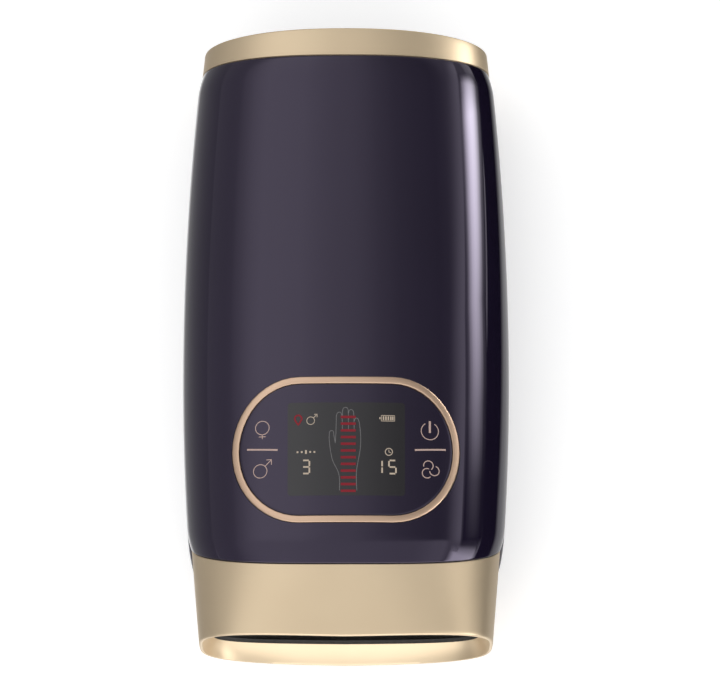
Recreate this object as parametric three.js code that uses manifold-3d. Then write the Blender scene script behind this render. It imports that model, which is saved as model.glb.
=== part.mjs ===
// Hand massager: a barrel-shaped housing that the hand slides into, with air cells around the hand.
// Millimetres, +Z up. X runs across, Y along the hand with the mouth at -Y. The origin is the centre
// of the footprint, on the surface that the feet stand on. Heights below are measured from the
// parting plane of the two shells, and one group lifts them all onto the feet.
import * as THREE from 'three';
import { mergeVertices } from 'three/addons/utils/BufferGeometryUtils.js';
import { RoundedBoxGeometry } from 'three/addons/geometries/RoundedBoxGeometry.js';
import Module from 'manifold-3d';

const wasm = await Module();
wasm.setup();

// Clearances
const fitGap = 0.3;
const hoseGap = 1.1;
const overrun = 6;
const weldTolerance = 1e-4;

// Housing, a barrel of superellipse sections
const bodyPower = 2.5;
const bodyHalfWidth = 75;
const bodyHalfHeight = 51.5;
const crestY = -13;
const frontBorderY = -109.9;
const rearBorderY = 126.2;
const frontWidthDrop = 4;
const rearWidthDrop = 7.1;
const frontHeightDrop = 1.6;
const rearHeightDrop = 4.1;
const shoulderLength = 10.5;
const shoulderDrop = 1.4;
const borderSweep = 15.7;
const borderPower = 1.15;
const lowerBorderPower = 6;
const shellWall = 2.5;
const baseCut = 5;
const baseDrop = bodyHalfHeight - baseCut;
const floorZ = shellWall - baseDrop;

// Front collar, with the funnel that leads the hand in
const collarStep = 0.5;
const collarSideStep = 5.7;
const collarTopStep = 3.5;
const collarSideTaper = 2.7;
const collarTopTaper = 4.4;
const collarLength = 32.3;
const rimPower = 3.5;
const rimSweep = 1.85;
const mouthSweepPower = 1.3;
const collarWall = 2.4;
const lipRadius = 0.9;
const throatPower = 4.8;
const throatSweep = 0.8;
const throatSideInset = 5.1;
const throatTopInset = 7.4;
const throatWall = 1.8;
const funnelBack = 6.1;
const funnelDepth = 9;
const spigotLength = 5;
const spigotWall = 1.8;
const collarHalfWidth = bodyHalfWidth - collarSideStep;
const collarHalfHeight = bodyHalfHeight - collarTopStep;
const rimHalfWidth = collarHalfWidth - collarSideTaper;
const rimHalfHeight = collarHalfHeight - collarTopTaper;
const rimY = frontBorderY - collarLength;
const throatY = rimY + funnelDepth;

// Rear band and the cover that closes it
const bandSideStep = 8.3;
const bandTopStep = 6;
const bandSideTaper = 1.4;
const bandTopTaper = 1.1;
const bandLength = 13.4;
const bandCrown = 2.8;
const bandWall = 2.2;
const bandEdgeRadius = 0.7;
const coverRecess = 0.4;
const coverCrown = 2.8;
const coverThickness = 2.5;
const bandHalfWidth = bodyHalfWidth - bandSideStep;
const bandHalfHeight = bodyHalfHeight - bandTopStep;
const bandEndHalfWidth = bandHalfWidth - bandSideTaper;
const bandEndHalfHeight = bandHalfHeight - bandTopTaper;
const bandEndY = rearBorderY + bandLength;

// Feet and the screws above them
const footWidthShare = 0.36;
const footFrontInset = 21.9;
const footRearInset = 48.2;
const footHeight = 2;
const footRadius = 6.5;
const footEdge = 0.6;
const screwRadius = 1.3;
const screwHeadRadius = 2.6;
const screwHeadHeight = 1.4;
const screwLength = 8;
const bossRadius = 3.6;
const footX = bodyHalfWidth * footWidthShare;
const footFrontY = frontBorderY + footFrontInset;
const footRearY = rearBorderY - footRearInset;

// Control panel, an oval that follows the top
const panelSetback = 51.5;
const panelWidthShare = 0.684;
const panelEndLength = 30.4;
const panelHalfHeight = 33.2;
const trimWidth = 3;
const trimProud = 0.5;
const trimFlange = 2;
const trimLedge = 2;
const trimLedgeThickness = 1.9;
const trimFlangeDrop = 3.9;
const lensSink = 0.25;
const lensThickness = 2;
const panelY = frontBorderY + panelSetback;
const panelHalfLength = bodyHalfWidth * panelWidthShare;
const panelStraightHalf = panelHalfLength - panelEndLength;

// Display and boards, stacked between the lens and the upper frame
const displaySideMargin = 21.3;
const displayEndMargin = 10.2;
const displayThickness = 3.4;
const displayRoom = 4.15;
const boardThickness = 1.6;
const boardLift = 0.8;
const boardInset = 4;
const postRadius = 3;
const displayPostInset = 2;
const displayPostSpread = 14;
const touchSideInset = 13.5;
const touchFrontReach = 8.7;
const touchRearReach = 10.7;
const touchRadius = 2.4;
const touchGap = 0.6;
const mainBoardSideInset = 6;
const mainBoardSetback = 20.2;
const mainBoardLength = 75;
const mainPostSideInset = 5;
const mainPostInset = 9;
const chipSize = 14;
const chipHeight = 1.8;
const connectorWidth = 18;
const connectorDepth = 6;
const connectorHeight = 4;
const ribbonWidth = 14;
const ribbonThickness = 0.4;
const ribbonBow = 1.2;
const displayHalfWidth = panelHalfLength - displaySideMargin;
const displayHalfLength = panelHalfHeight - displayEndMargin;
const displayPostX = displayHalfWidth - displayPostInset;
const touchX = panelHalfLength - touchSideInset;
const touchFrontY = panelY - touchFrontReach;
const touchRearY = panelY + touchRearReach;
const mainBoardFrontY = panelY + panelHalfHeight + mainBoardSetback;
const mainBoardRearY = mainBoardFrontY + mainBoardLength;
const displayTop = bodyHalfHeight - displayRoom - lensSink - lensThickness;
const boardTop = displayTop - displayThickness - fitGap;
const boardBottom = boardTop - boardThickness;

// Battery
const batteryHalfWidth = 23;
const batteryLength = 90;
const batteryY = -8;
const batteryThickness = 6.6;
const batteryEdge = 1.2;
const batteryRoom = 0.6;
const batteryTop = floorZ + fitGap + batteryThickness;

// Pump, sized to the height of the housing
const pumpHeadShare = 0.25243;
const pumpLiftShare = 0.17476;
const pumpSideShare = 0.37333;
const pumpFrontGap = 0.5;
const pumpRearGap = 3.2;
const pumpCanLength = 34;
const pumpCanStep = 1;
const pumpCanWall = 1.4;
const pumpHeadLength = 20;
const pumpHeadWall = 4.5;
const pumpHeadEdge = 1.5;
const pumpRecessDepth = 13;
const shaftRadius = 1;
const armatureGap = 3.6;
const armatureLength = 18;
const armatureInset = 5;
const crankGap = 3.5;
const crankOffset = 1.6;
const crankLength = 5;
const crankInset = 3;
const saddleHalfWidth = 10;
const saddleHalfDepth = 9;
const saddleDrop = 9;
const pumpHeadHalf = bodyHalfHeight * pumpHeadShare;
const pumpCanRadius = pumpHeadHalf - pumpCanStep;
const pumpRecessRadius = pumpHeadHalf - pumpHeadWall;
const armatureRadius = pumpCanRadius - armatureGap;
const crankRadius = pumpRecessRadius - crankGap;
const pumpCanX = -bodyHalfWidth * pumpSideShare;
const pumpZ = floorZ + bodyHalfHeight * pumpLiftShare + pumpHeadHalf;

// Inner frames, the tunnel that carries cells and pads
const framePower = 3;
const frameSideSpace = 12;
const frameWall = 2;
const frameSetback = 3.09;
const bulkheadThickness = 2;
const bulkheadDepth = fitGap + bulkheadThickness;
const frameHalfWidth = bodyHalfWidth - frameSideSpace;
const upperFrameHeight = boardBottom - boardLift;
const lowerFrameHeight = -batteryTop - batteryRoom;
const frameFrontY = throatY + throatWall + frameSetback;
const pumpY = rearBorderY - pumpRearGap - pumpHeadHalf;
const bulkheadBackY = pumpY - pumpHeadHalf - pumpFrontGap;
const frameRearY = bulkheadBackY - bulkheadDepth;

// Air cells, pads and cloth around the hand
const padFrontInset = 2;
const padRearInset = 3.2;
const padSideSpace = 21;
const padCount = 3;
const padBreak = 2;
const padThickness = 4.5;
const padEdge = 1.6;
const upperCellDepth = 8.9;
const lowerCellDepth = 7.1;
const cellInset = 2;
const lowerCellInset = 4;
const filmThickness = 0.4;
const filmSideInset = 8;
const filmFrontInset = 50.5;
const filmRearInset = 13;
const restThickness = 5;
const noduleRadius = 6;
const noduleHeight = 2;
const noduleColumns = 3;
const noduleRows = 5;
const noduleSideInset = 18;
const noduleSpacingY = 26;
const noduleSetback = 91;
const clothThickness = 1.4;
const clothGap = 2.5;
const padFrontY = frameFrontY + padFrontInset;
const padRearY = frameRearY - padRearInset;
const padLength = (padRearY - padFrontY - (padCount - 1) * padBreak) / padCount;
const padHalfWidth = frameHalfWidth - padSideSpace;
const padCeiling = upperFrameHeight - upperCellDepth;
const lowerCellHalfWidth = padHalfWidth - lowerCellInset;
const lowerCellTop = lowerFrameHeight - lowerCellDepth;
const filmHalfWidth = padHalfWidth - filmSideInset;
const noduleSpacingX = padHalfWidth - noduleSideInset;
const noduleMiddleY = padRearY - noduleSetback;
const restBottom = -lowerCellTop + 2 * fitGap + filmThickness;
const restTop = restBottom + restThickness;

// Air inlets in the base
const ventCount = 5;
const ventPitch = 5;
const ventWidth = 2;
const ventLength = 14;
const ventSetback = 6;
const ventY = pumpY - ventSetback;

// Valves on their air rail
const valveSideInset = 12;
const railSideSpace = 21;
const railDepth = 10;
const railRiseShare = 0.50485;
const railHeight = 8;
const valveWidth = 15;
const valveDepth = 12;
const valveHeightShare = 0.3495;
const valveEdge = 1;
const valveBoreRadius = 3.4;
const valveFloor = 3;
const plungerRadius = 2.9;
const plungerLength = 8;
const plungerProud = 1.8;
const springRadius = 2.3;
const springWire = 0.35;
const springTurns = 3;
const railHalfLength = frameHalfWidth - railSideSpace;
const valvePitch = railHalfLength - valveSideInset;
const railBottom = pumpZ + bodyHalfHeight * railRiseShare;
const valveHeight = bodyHalfHeight * valveHeightShare;

// Hoses
const hoseRadius = 2;
const hoseLaneInset = 14;
const wristLaneInset = 13;
const wristLaneGap = 1;
const wristShiftSetback = 34.2;
const wristShiftLength = 65;
const wristTurnLength = 13;
const wristInletSideInset = 4;
const wristInletReach = 40.6;
const lowerLaneGap = 8;
const lowerLaneDrop = 4.4;
const lowerInletInset = 25;
const hoseBend = 2.5;
const hoseReach = 4.8;
const hoseStep = 7;
const nozzleRadius = 1.6;
const nozzleLength = 3;
const hoseLaneX = railHalfLength - hoseLaneInset;
const mainBoardHalfWidth = hoseLaneX - mainBoardSideInset;
const mainPostX = mainBoardHalfWidth - mainPostSideInset;
const wristLaneX = frameHalfWidth - wristLaneInset;
const wristShiftRearY = frameRearY - wristShiftSetback;
const wristShiftFrontY = wristShiftRearY - wristShiftLength;
const wristInletX = padHalfWidth - wristInletSideInset;
const wristInletY = panelY - wristInletReach;
const wristTurnY = wristInletY + wristTurnLength;
const lowerLaneX = footX + lowerLaneGap;
const lowerInletY = padRearY - lowerInletInset;

// Charge socket
const socketWidth = 9;
const socketHeight = 3.4;
const socketDepth = 7.4;
const socketWall = 0.5;
const socketTongue = 0.8;
const socketLift = 20;
const socketZ = floorZ + socketLift;

// Counts of facets
const ringCount = 40;
const roundCount = 16;
const smallRoundCount = 10;
const panelArcCount = 12;
const panelStraightCount = 4;
const hoseSides = 8;
const springSides = 5;
const springSteps = 24;

// Shares that place the stations of a surface
const shoulderShares = [0, 0.2, 0.5, 1];
const middleShares = [0.12, 0.27, 0.42, 0.57, 0.72, 0.87];
const boreShares = [0, 0.08, 0.2, 0.35, 0.5, 0.65, 0.8, 0.92, 1];
const lensShares = [0.35, 0.7, 1];
const coverShares = [0.12, 0.4, 0.7, 1];
const ribbonShares = [0, 0.25, 0.5, 0.75, 1];

const footPlaces = [
  [-footX, footFrontY],
  [footX, footFrontY],
  [-footX, footRearY],
  [footX, footRearY],
];

const finish = {
  purple: { color: 0x392e48, roughness: 0.18, metalness: 0.1 },
  champagne: { color: 0xcdb996, roughness: 0.32, metalness: 0.85 },
  rose: { color: 0xd4b491, roughness: 0.25, metalness: 0.9 },
  smoke: { color: 0x423c4c, roughness: 0.12, metalness: 0 },
  white: { color: 0xd8d8d4, roughness: 0.6, metalness: 0 },
  black: { color: 0x222226, roughness: 0.6, metalness: 0 },
  green: { color: 0x1f5a3a, roughness: 0.5, metalness: 0.1 },
  cell: { color: 0xb8bcc4, roughness: 0.55, metalness: 0 },
  cloth: { color: 0x4a4650, roughness: 0.95, metalness: 0 },
  film: { color: 0xb8743a, roughness: 0.5, metalness: 0.2 },
  steel: { color: 0xb6b8bc, roughness: 0.3, metalness: 1 },
  brass: { color: 0xb89a5a, roughness: 0.35, metalness: 1 },
  rubber: { color: 0x18181a, roughness: 0.9, metalness: 0 },
  hose: { color: 0xdadad2, roughness: 0.45, metalness: 0 },
  silver: { color: 0xc4c6ca, roughness: 0.45, metalness: 0.6 },
};

// Solids: closed geometries in, closed geometries out
function solidFrom(geometry) {
  const bare = geometry.clone();
  bare.deleteAttribute('normal');
  bare.deleteAttribute('uv');
  const merged = mergeVertices(bare, weldTolerance);
  return new wasm.Manifold(new wasm.Mesh({
    numProp: 3,
    vertProperties: new Float32Array(merged.attributes.position.array),
    triVerts: new Uint32Array(merged.index.array),
  }));
}

function geometryFrom(solid) {
  const mesh = solid.getMesh();
  const geometry = new THREE.BufferGeometry();
  geometry.setAttribute('position', new THREE.BufferAttribute(new Float32Array(mesh.vertProperties), 3));
  geometry.setIndex(new THREE.BufferAttribute(new Uint32Array(mesh.triVerts), 1));
  return geometry;
}

function cut(base, ...tools) {
  return geometryFrom(tools.reduce((solid, tool) => solid.subtract(solidFrom(tool)), solidFrom(base)));
}

function join(base, ...others) {
  return geometryFrom(others.reduce((solid, other) => solid.add(solidFrom(other)), solidFrom(base)));
}

function common(base, other) {
  return geometryFrom(solidFrom(base).intersect(solidFrom(other)));
}

function box(x0, x1, y0, y1, z0, z1) {
  const geometry = new THREE.BoxGeometry(x1 - x0, y1 - y0, z1 - z0);
  return geometry.translate((x0 + x1) / 2, (y0 + y1) / 2, (z0 + z1) / 2);
}

function softBox(x0, x1, y0, y1, z0, z1, radius) {
  const geometry = new RoundedBoxGeometry(x1 - x0, y1 - y0, z1 - z0, 1, radius);
  return geometry.translate((x0 + x1) / 2, (y0 + y1) / 2, (z0 + z1) / 2);
}

function post(radius, x, y, z0, z1, sides = roundCount) {
  const geometry = new THREE.CylinderGeometry(radius, radius, z1 - z0, sides);
  return geometry.rotateX(Math.PI / 2).translate(x, y, (z0 + z1) / 2);
}

function rod(radius, x0, x1, y, z, sides = roundCount) {
  const geometry = new THREE.CylinderGeometry(radius, radius, x1 - x0, sides);
  return geometry.rotateZ(Math.PI / 2).translate((x0 + x1) / 2, y, z);
}

function lathe(profile, x, y, sides = roundCount) {
  const points = profile.map(([radius, z]) => new THREE.Vector2(radius, z));
  return new THREE.LatheGeometry(points, sides).rotateX(Math.PI / 2).translate(x, y, 0);
}

// Rows of points, each row a closed loop, joined row to row. A ring joins its last row to its first,
// and anything else is closed by a fan at each end.
function loft(rows, isRing = false) {
  const count = rows[0].length;
  const points = rows.flat();
  const index = [];
  const bands = isRing ? rows.length : rows.length - 1;
  for (let row = 0; row < bands; row += 1) {
    const here = row * count;
    const there = ((row + 1) % rows.length) * count;
    for (let step = 0; step < count; step += 1) {
      const next = (step + 1) % count;
      index.push(here + step, there + step, there + next);
      index.push(here + step, there + next, here + next);
    }
  }
  if (!isRing) {
    addFan(points, index, 0, count, true);
    addFan(points, index, (rows.length - 1) * count, count, false);
  }
  return facingOut(points, index);
}

function addFan(points, index, start, count, reversed) {
  const middle = new THREE.Vector3();
  for (let step = 0; step < count; step += 1) {
    middle.addScaledVector(points[start + step], 1 / count);
  }
  const hub = points.push(middle) - 1;
  for (let step = 0; step < count; step += 1) {
    const here = start + step;
    const next = start + ((step + 1) % count);
    index.push(...(reversed ? [hub, here, next] : [hub, next, here]));
  }
}

function facingOut(points, index) {
  let volume = 0;
  for (let k = 0; k < index.length; k += 3) {
    const [a, b, c] = [points[index[k]], points[index[k + 1]], points[index[k + 2]]];
    volume += a.dot(b.clone().cross(c));
  }
  if (volume < 0) {
    index.reverse();
  }
  const geometry = new THREE.BufferGeometry();
  geometry.setAttribute('position', new THREE.Float32BufferAttribute(points.flatMap((p) => [p.x, p.y, p.z]), 3));
  geometry.setIndex(index);
  return geometry;
}

// A point of a superellipse, as shares of its half width and half height
function sectionShares(power, angle) {
  const across = Math.cos(angle);
  const up = Math.sin(angle);
  return [Math.sign(across) * Math.abs(across) ** (2 / power), Math.sign(up) * Math.abs(up) ** (2 / power)];
}

function ringAngles(count) {
  return Array.from({ length: count }, (_, step) => (2 * Math.PI * step) / count);
}

// Half width and half height of the barrel at a station
function barrelAt(y) {
  const isFront = y < crestY;
  const span = (isFront ? frontBorderY : rearBorderY) - crestY;
  const share = ((y - crestY) / span) ** 2;
  return [
    bodyHalfWidth - (isFront ? frontWidthDrop : rearWidthDrop) * share,
    bodyHalfHeight - (isFront ? frontHeightDrop : rearHeightDrop) * share,
  ];
}

function heightOver(x, halfWidth, halfHeight, power) {
  return halfHeight * (1 - Math.min(Math.abs(x) / halfWidth, 1) ** power) ** (1 / power);
}

function bodyTop(x, y) {
  const [halfWidth, halfHeight] = barrelAt(y);
  return heightOver(x, halfWidth, halfHeight, bodyPower);
}

// The front edge of the shells sweeps back toward the parting plane, and forward again just under it
function frontBorder(angle) {
  const [, up] = sectionShares(bodyPower, angle);
  const power = up < 0 ? lowerBorderPower : borderPower;
  return frontBorderY + borderSweep * (1 - Math.abs(up)) ** power;
}

// The rim of the mouth is squarer than the barrel, and sweeps back a little toward its sides
function frontRim(angle) {
  const [across] = sectionShares(rimPower, angle);
  return rimY + rimSweep * Math.abs(across) ** mouthSweepPower;
}

function throatEdge(angle) {
  const [across] = sectionShares(throatPower, angle);
  return throatY + throatSweep * Math.abs(across) ** mouthSweepPower;
}

function sectionPoint(power, angle, y, halfWidth, halfHeight, floor) {
  const [across, up] = sectionShares(power, angle);
  return new THREE.Vector3(halfWidth * across, y, Math.max(halfHeight * up, -floor));
}

function shoulderInset(distance) {
  return shoulderDrop * (1 - Math.min(distance / shoulderLength, 1)) ** 2;
}

function barrelSkin() {
  const front = shoulderShares.map((share) => (from) => from + share * shoulderLength);
  const middle = middleShares.map((share) => (from, to) => {
    return from + shoulderLength + share * (to - from - 2 * shoulderLength);
  });
  const rear = shoulderShares.toReversed().map((share) => (from, to) => to - share * shoulderLength);
  const rows = [...front, ...middle, ...rear].map((station) => ringAngles(ringCount).map((angle) => {
    const from = frontBorder(angle);
    const y = station(from, rearBorderY);
    const [halfWidth, halfHeight] = barrelAt(y);
    const inset = shoulderInset(y - from) + shoulderInset(rearBorderY - y);
    return sectionPoint(bodyPower, angle, y, halfWidth - inset, halfHeight - inset, bodyHalfHeight);
  }));
  return loft(rows);
}

function barrelBore() {
  const from = frontBorderY - overrun;
  const to = rearBorderY + overrun;
  const rows = boreShares.map((share) => {
    const y = from + share * (to - from);
    const [halfWidth, halfHeight] = barrelAt(y);
    return ringAngles(ringCount).map((angle) => {
      return sectionPoint(bodyPower, angle, y, halfWidth - shellWall, halfHeight - shellWall, bodyHalfHeight);
    });
  });
  return loft(rows);
}

// Everything above or below a plane, wide enough for the whole part
function slabBetween(z0, z1) {
  const reach = bodyHalfWidth + overrun;
  return box(-reach, reach, rimY - overrun, bandEndY + overrun, z0, z1);
}

function shellTube() {
  const top = bodyHalfHeight + overrun;
  const outside = common(barrelSkin(), slabBetween(-baseDrop, top));
  const inside = common(barrelBore(), slabBetween(floorZ, top));
  return cut(outside, inside);
}

// The panel outline: two round ends joined by straights, offset outward by a distance. Each point is
// held as its place along the straight and its direction round the end.
function panelDirections() {
  const arc = (start) => Array.from({ length: panelArcCount + 1 }, (_, step) => start + (Math.PI * step) / panelArcCount);
  const straight = (from, up) => Array.from({ length: panelStraightCount - 1 }, (_, step) => {
    return [from * (1 - (2 * (step + 1)) / panelStraightCount), 0, up];
  });
  return [
    ...arc(-Math.PI / 2).map((angle) => [1, Math.cos(angle), Math.sin(angle)]),
    ...straight(1, 1),
    ...arc(Math.PI / 2).map((angle) => [-1, Math.cos(angle), Math.sin(angle)]),
    ...straight(-1, -1),
  ];
}

function panelOutline(offset, share = 1) {
  const endLength = panelHalfLength - panelStraightHalf + offset;
  return panelDirections().map(([along, across, up]) => {
    const x = panelStraightHalf * along + endLength * across;
    return [x * share, panelY + (panelHalfHeight + offset) * up * share];
  });
}

function panelLoop(offset, lift, share = 1) {
  return panelOutline(offset, share).map(([x, y]) => new THREE.Vector3(x, y, bodyTop(x, y) + lift));
}

function panelPrism(offset, z0, z1) {
  return loft([z0, z1].map((z) => panelOutline(offset).map(([x, y]) => new THREE.Vector3(x, y, z))));
}

function upperShell(tube) {
  const top = bodyHalfHeight + overrun;
  const half = common(tube, slabBetween(fitGap / 2, top));
  return cut(half, panelPrism(fitGap, 0, top));
}

function lowerShell(tube) {
  const half = common(tube, slabBetween(-baseDrop - overrun, -fitGap / 2));
  const holes = footPlaces.flatMap(([x, y]) => [
    post(screwRadius + fitGap, x, y, -baseDrop - overrun, floorZ + overrun, smallRoundCount),
    post(screwHeadRadius + fitGap, x, y, -baseDrop - overrun, screwHeadTop() + fitGap),
  ]);
  const vents = Array.from({ length: ventCount }, (_, step) => {
    const x = (step - (ventCount - 1) / 2) * ventPitch;
    return box(x - ventWidth / 2, x + ventWidth / 2, ventY - ventLength / 2, ventY + ventLength / 2,
      -baseDrop - overrun, floorZ + shellWall);
  });
  return cut(half, ...holes, ...vents);
}

// A ring whose profile is given at each angle as rows of station, half width, half height and floor, and
// of the section's power where that isn't the barrel's
function ringSolid(profileAt) {
  const columns = ringAngles(ringCount).map((angle) => profileAt(angle).map((row) => {
    const [y, halfWidth, halfHeight, floor, power = bodyPower] = row;
    return sectionPoint(power, angle, y, halfWidth, halfHeight, floor);
  }));
  return loft(columns[0].map((_, row) => columns.map((column) => column[row])), true);
}

function collarAt(y) {
  const share = (y - rimY) / (frontBorderY - rimY);
  return [
    rimHalfWidth + (collarHalfWidth - rimHalfWidth) * share,
    rimHalfHeight + (collarHalfHeight - rimHalfHeight) * share,
  ];
}

function collarRow(y, inset, power = bodyPower) {
  const [halfWidth, halfHeight] = collarAt(y);
  return [y, halfWidth - inset, halfHeight - inset, baseDrop - collarStep - inset, power];
}

function throatRow(y) {
  return [y, rimHalfWidth - throatSideInset, rimHalfHeight - throatTopInset, baseDrop, throatPower];
}

// Inside the shell, a spigot follows the bore at a clearance
function spigotRow(y, inset) {
  const [halfWidth, halfHeight] = barrelAt(y);
  const depth = shellWall + fitGap + inset;
  return [y, halfWidth - depth, halfHeight - depth, baseDrop - depth];
}

function frontCollar() {
  return ringSolid((angle) => {
    const border = frontBorder(angle) - fitGap;
    const rim = frontRim(angle);
    const lipSide = lipRadius * (1 - Math.SQRT1_2);
    return [
      collarRow(border, 0),
      collarRow(rim + lipRadius, 0, rimPower),
      collarRow(rim + lipSide, lipSide, rimPower),
      collarRow(rim, lipRadius, rimPower),
      collarRow(rim + lipSide, 2 * lipRadius - lipSide, rimPower),
      throatRow(throatEdge(angle)),
      throatRow(throatEdge(angle) + throatWall),
      collarRow(rim + lipRadius + funnelBack, collarWall, rimPower),
      collarRow(border, collarWall),
      spigotRow(border + spigotLength, spigotWall),
      spigotRow(border + spigotLength, 0),
      spigotRow(border + fitGap, 0),
      [border, ...spigotRow(border + fitGap, 0).slice(1)],
    ];
  });
}

function bandAt(y) {
  const share = (y - rearBorderY) / (bandEndY - rearBorderY);
  return [
    bandHalfWidth + (bandEndHalfWidth - bandHalfWidth) * share,
    bandHalfHeight + (bandEndHalfHeight - bandHalfHeight) * share,
  ];
}

function bandEnd(angle) {
  const [across] = sectionShares(bodyPower, angle);
  return bandEndY - bandCrown * across ** 2;
}

function bandRow(y, inset) {
  const [halfWidth, halfHeight] = bandAt(y);
  return [y, halfWidth - inset, halfHeight - inset, baseDrop - collarStep - inset];
}

function rearBand() {
  return ringSolid((angle) => {
    const border = rearBorderY + fitGap;
    const end = bandEnd(angle);
    return [
      bandRow(border, 0),
      bandRow(end - bandEdgeRadius, 0),
      bandRow(end, bandEdgeRadius),
      bandRow(end, bandWall),
      bandRow(border, bandWall),
      spigotRow(border - spigotLength, spigotWall),
      spigotRow(border - spigotLength, 0),
      spigotRow(border - fitGap, 0),
      [border, ...spigotRow(border - fitGap, 0).slice(1)],
    ];
  });
}

function coverRow(share, depth) {
  return ringAngles(ringCount).map((angle) => {
    const [across, up] = sectionShares(bodyPower, angle);
    const edge = bandEnd(angle) - coverRecess;
    const inset = bandWall + fitGap;
    const [halfWidth, halfHeight] = bandAt(edge - coverThickness);
    const crown = coverCrown * (1 - share ** 2) + bandCrown * across ** 2 * (1 - share ** 2);
    return new THREE.Vector3((halfWidth - inset) * across * share, edge + crown - depth,
      Math.max((halfHeight - inset) * up, -(baseDrop - collarStep - inset)) * share);
  });
}

function endCover() {
  const inside = coverShares.map((share) => coverRow(share, coverThickness));
  const outside = coverShares.toReversed().map((share) => coverRow(share, 0));
  const plate = loft([...inside, ...outside]);
  const hole = softBox(-socketWidth / 2 - fitGap, socketWidth / 2 + fitGap,
    bandEndY - bandCrown - coverThickness - overrun, bandEndY + overrun,
    socketZ - socketHeight / 2 - fitGap, socketZ + socketHeight / 2 + fitGap, socketHeight / 3);
  return cut(plate, hole);
}

function chargeSocket() {
  const face = bandEndY - coverRecess;
  const radius = socketHeight / 3;
  const shell = softBox(-socketWidth / 2, socketWidth / 2, face - socketDepth, face,
    socketZ - socketHeight / 2, socketZ + socketHeight / 2, radius);
  const pocketHalf = socketWidth / 2 - socketWall;
  const pocket = box(-pocketHalf, pocketHalf, face - socketDepth + 2 * socketWall, face + overrun,
    socketZ - socketHeight / 2 + socketWall, socketZ + socketHeight / 2 - socketWall);
  const tongue = box(-pocketHalf + socketTongue, pocketHalf - socketTongue, face - socketDepth + socketWall,
    face - socketTongue, socketZ - socketTongue / 2, socketZ + socketTongue / 2);
  return join(cut(shell, pocket), tongue);
}

function panelTrim() {
  const bottom = trimFlangeDrop + trimLedgeThickness - fitGap;
  const ledge = lensSink + lensThickness + fitGap;
  const inner = trimWidth + trimLedge;
  const profile = [
    [0, 0],
    [-trimProud, trimProud],
    [trimProud - trimWidth, trimProud],
    [-trimWidth, 0],
    [-trimWidth, -ledge],
    [-inner, -ledge],
    [-inner, -bottom],
    [trimFlange, -bottom],
    [trimFlange, -trimFlangeDrop],
    [0, -trimFlangeDrop],
  ];
  return loft(profile.map(([offset, lift]) => panelLoop(offset, lift)), true);
}

function panelLens() {
  const offset = -trimWidth - fitGap;
  const top = lensShares.map((share) => panelLoop(offset, -lensSink, share));
  const under = lensShares.toReversed().map((share) => panelLoop(offset, -lensSink - lensThickness, share));
  return loft([...top, ...under]);
}

function displayModule() {
  return softBox(-displayHalfWidth, displayHalfWidth, panelY - displayHalfLength, panelY + displayHalfLength,
    displayTop - displayThickness, displayTop, displayThickness / 4);
}

function displayBoard() {
  return panelPrism(-trimWidth - trimLedge - boardInset, boardBottom, boardTop);
}

function touchContact(x, y) {
  const under = bodyTop(Math.abs(x) + touchRadius, y) - lensSink - lensThickness;
  return post(touchRadius, x, y, boardTop + fitGap, under - touchGap, smallRoundCount);
}

function mainBoard() {
  const board = box(-mainBoardHalfWidth, mainBoardHalfWidth, mainBoardFrontY, mainBoardRearY, boardBottom, boardTop);
  const sink = boardThickness / 2;
  const middleY = (mainBoardFrontY + mainBoardRearY) / 2;
  const chip = box(-chipSize / 2, chipSize / 2, middleY - chipSize / 2, middleY + chipSize / 2,
    boardTop - sink, boardTop + chipHeight);
  const connectorAt = (y) => box(-connectorWidth / 2, connectorWidth / 2, y, y + connectorDepth,
    boardTop - sink, boardTop + connectorHeight);
  return join(board, chip, connectorAt(mainBoardFrontY + connectorDepth),
    connectorAt(mainBoardRearY - 2 * connectorDepth));
}

// A flat cable that bows up between the two boards
function ribbonCable() {
  const from = panelY + panelHalfHeight - trimWidth - trimLedge - boardInset + fitGap;
  const to = mainBoardFrontY - fitGap;
  const rows = ribbonShares.map((share) => {
    const y = from + (to - from) * share;
    const z = boardBottom + boardThickness / 2 + ribbonBow * Math.sin(Math.PI * share);
    return [[-1, -1], [1, -1], [1, 1], [-1, 1]].map(([across, up]) => {
      return new THREE.Vector3((across * ribbonWidth) / 2, y, z + (up * ribbonThickness) / 2);
    });
  });
  return loft(rows);
}

// A bent panel: an arc of a superellipse, between two stations and two depths
function arcPanel(fromAngle, toAngle, steps, y0, y1, outer, inner) {
  const rows = Array.from({ length: steps + 1 }, (_, step) => {
    const angle = fromAngle + ((toAngle - fromAngle) * step) / steps;
    const corner = (y, [halfWidth, upper, lower]) => {
      const floor = Math.max(upper, lower);
      return sectionPoint(framePower, angle, y, halfWidth, Math.sin(angle) < 0 ? lower : upper, floor);
    };
    return [corner(y0, outer), corner(y1, outer), corner(y1, inner), corner(y0, inner)];
  });
  return loft(rows);
}

function tunnelSizes(inset) {
  return [frameHalfWidth - inset, upperFrameHeight - inset, lowerFrameHeight - inset];
}

function tunnelTop(x, inset) {
  return heightOver(x, frameHalfWidth - inset, upperFrameHeight - inset, framePower);
}

function tunnelBottom(x, inset) {
  return -heightOver(x, frameHalfWidth - inset, lowerFrameHeight - inset, framePower);
}

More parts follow.
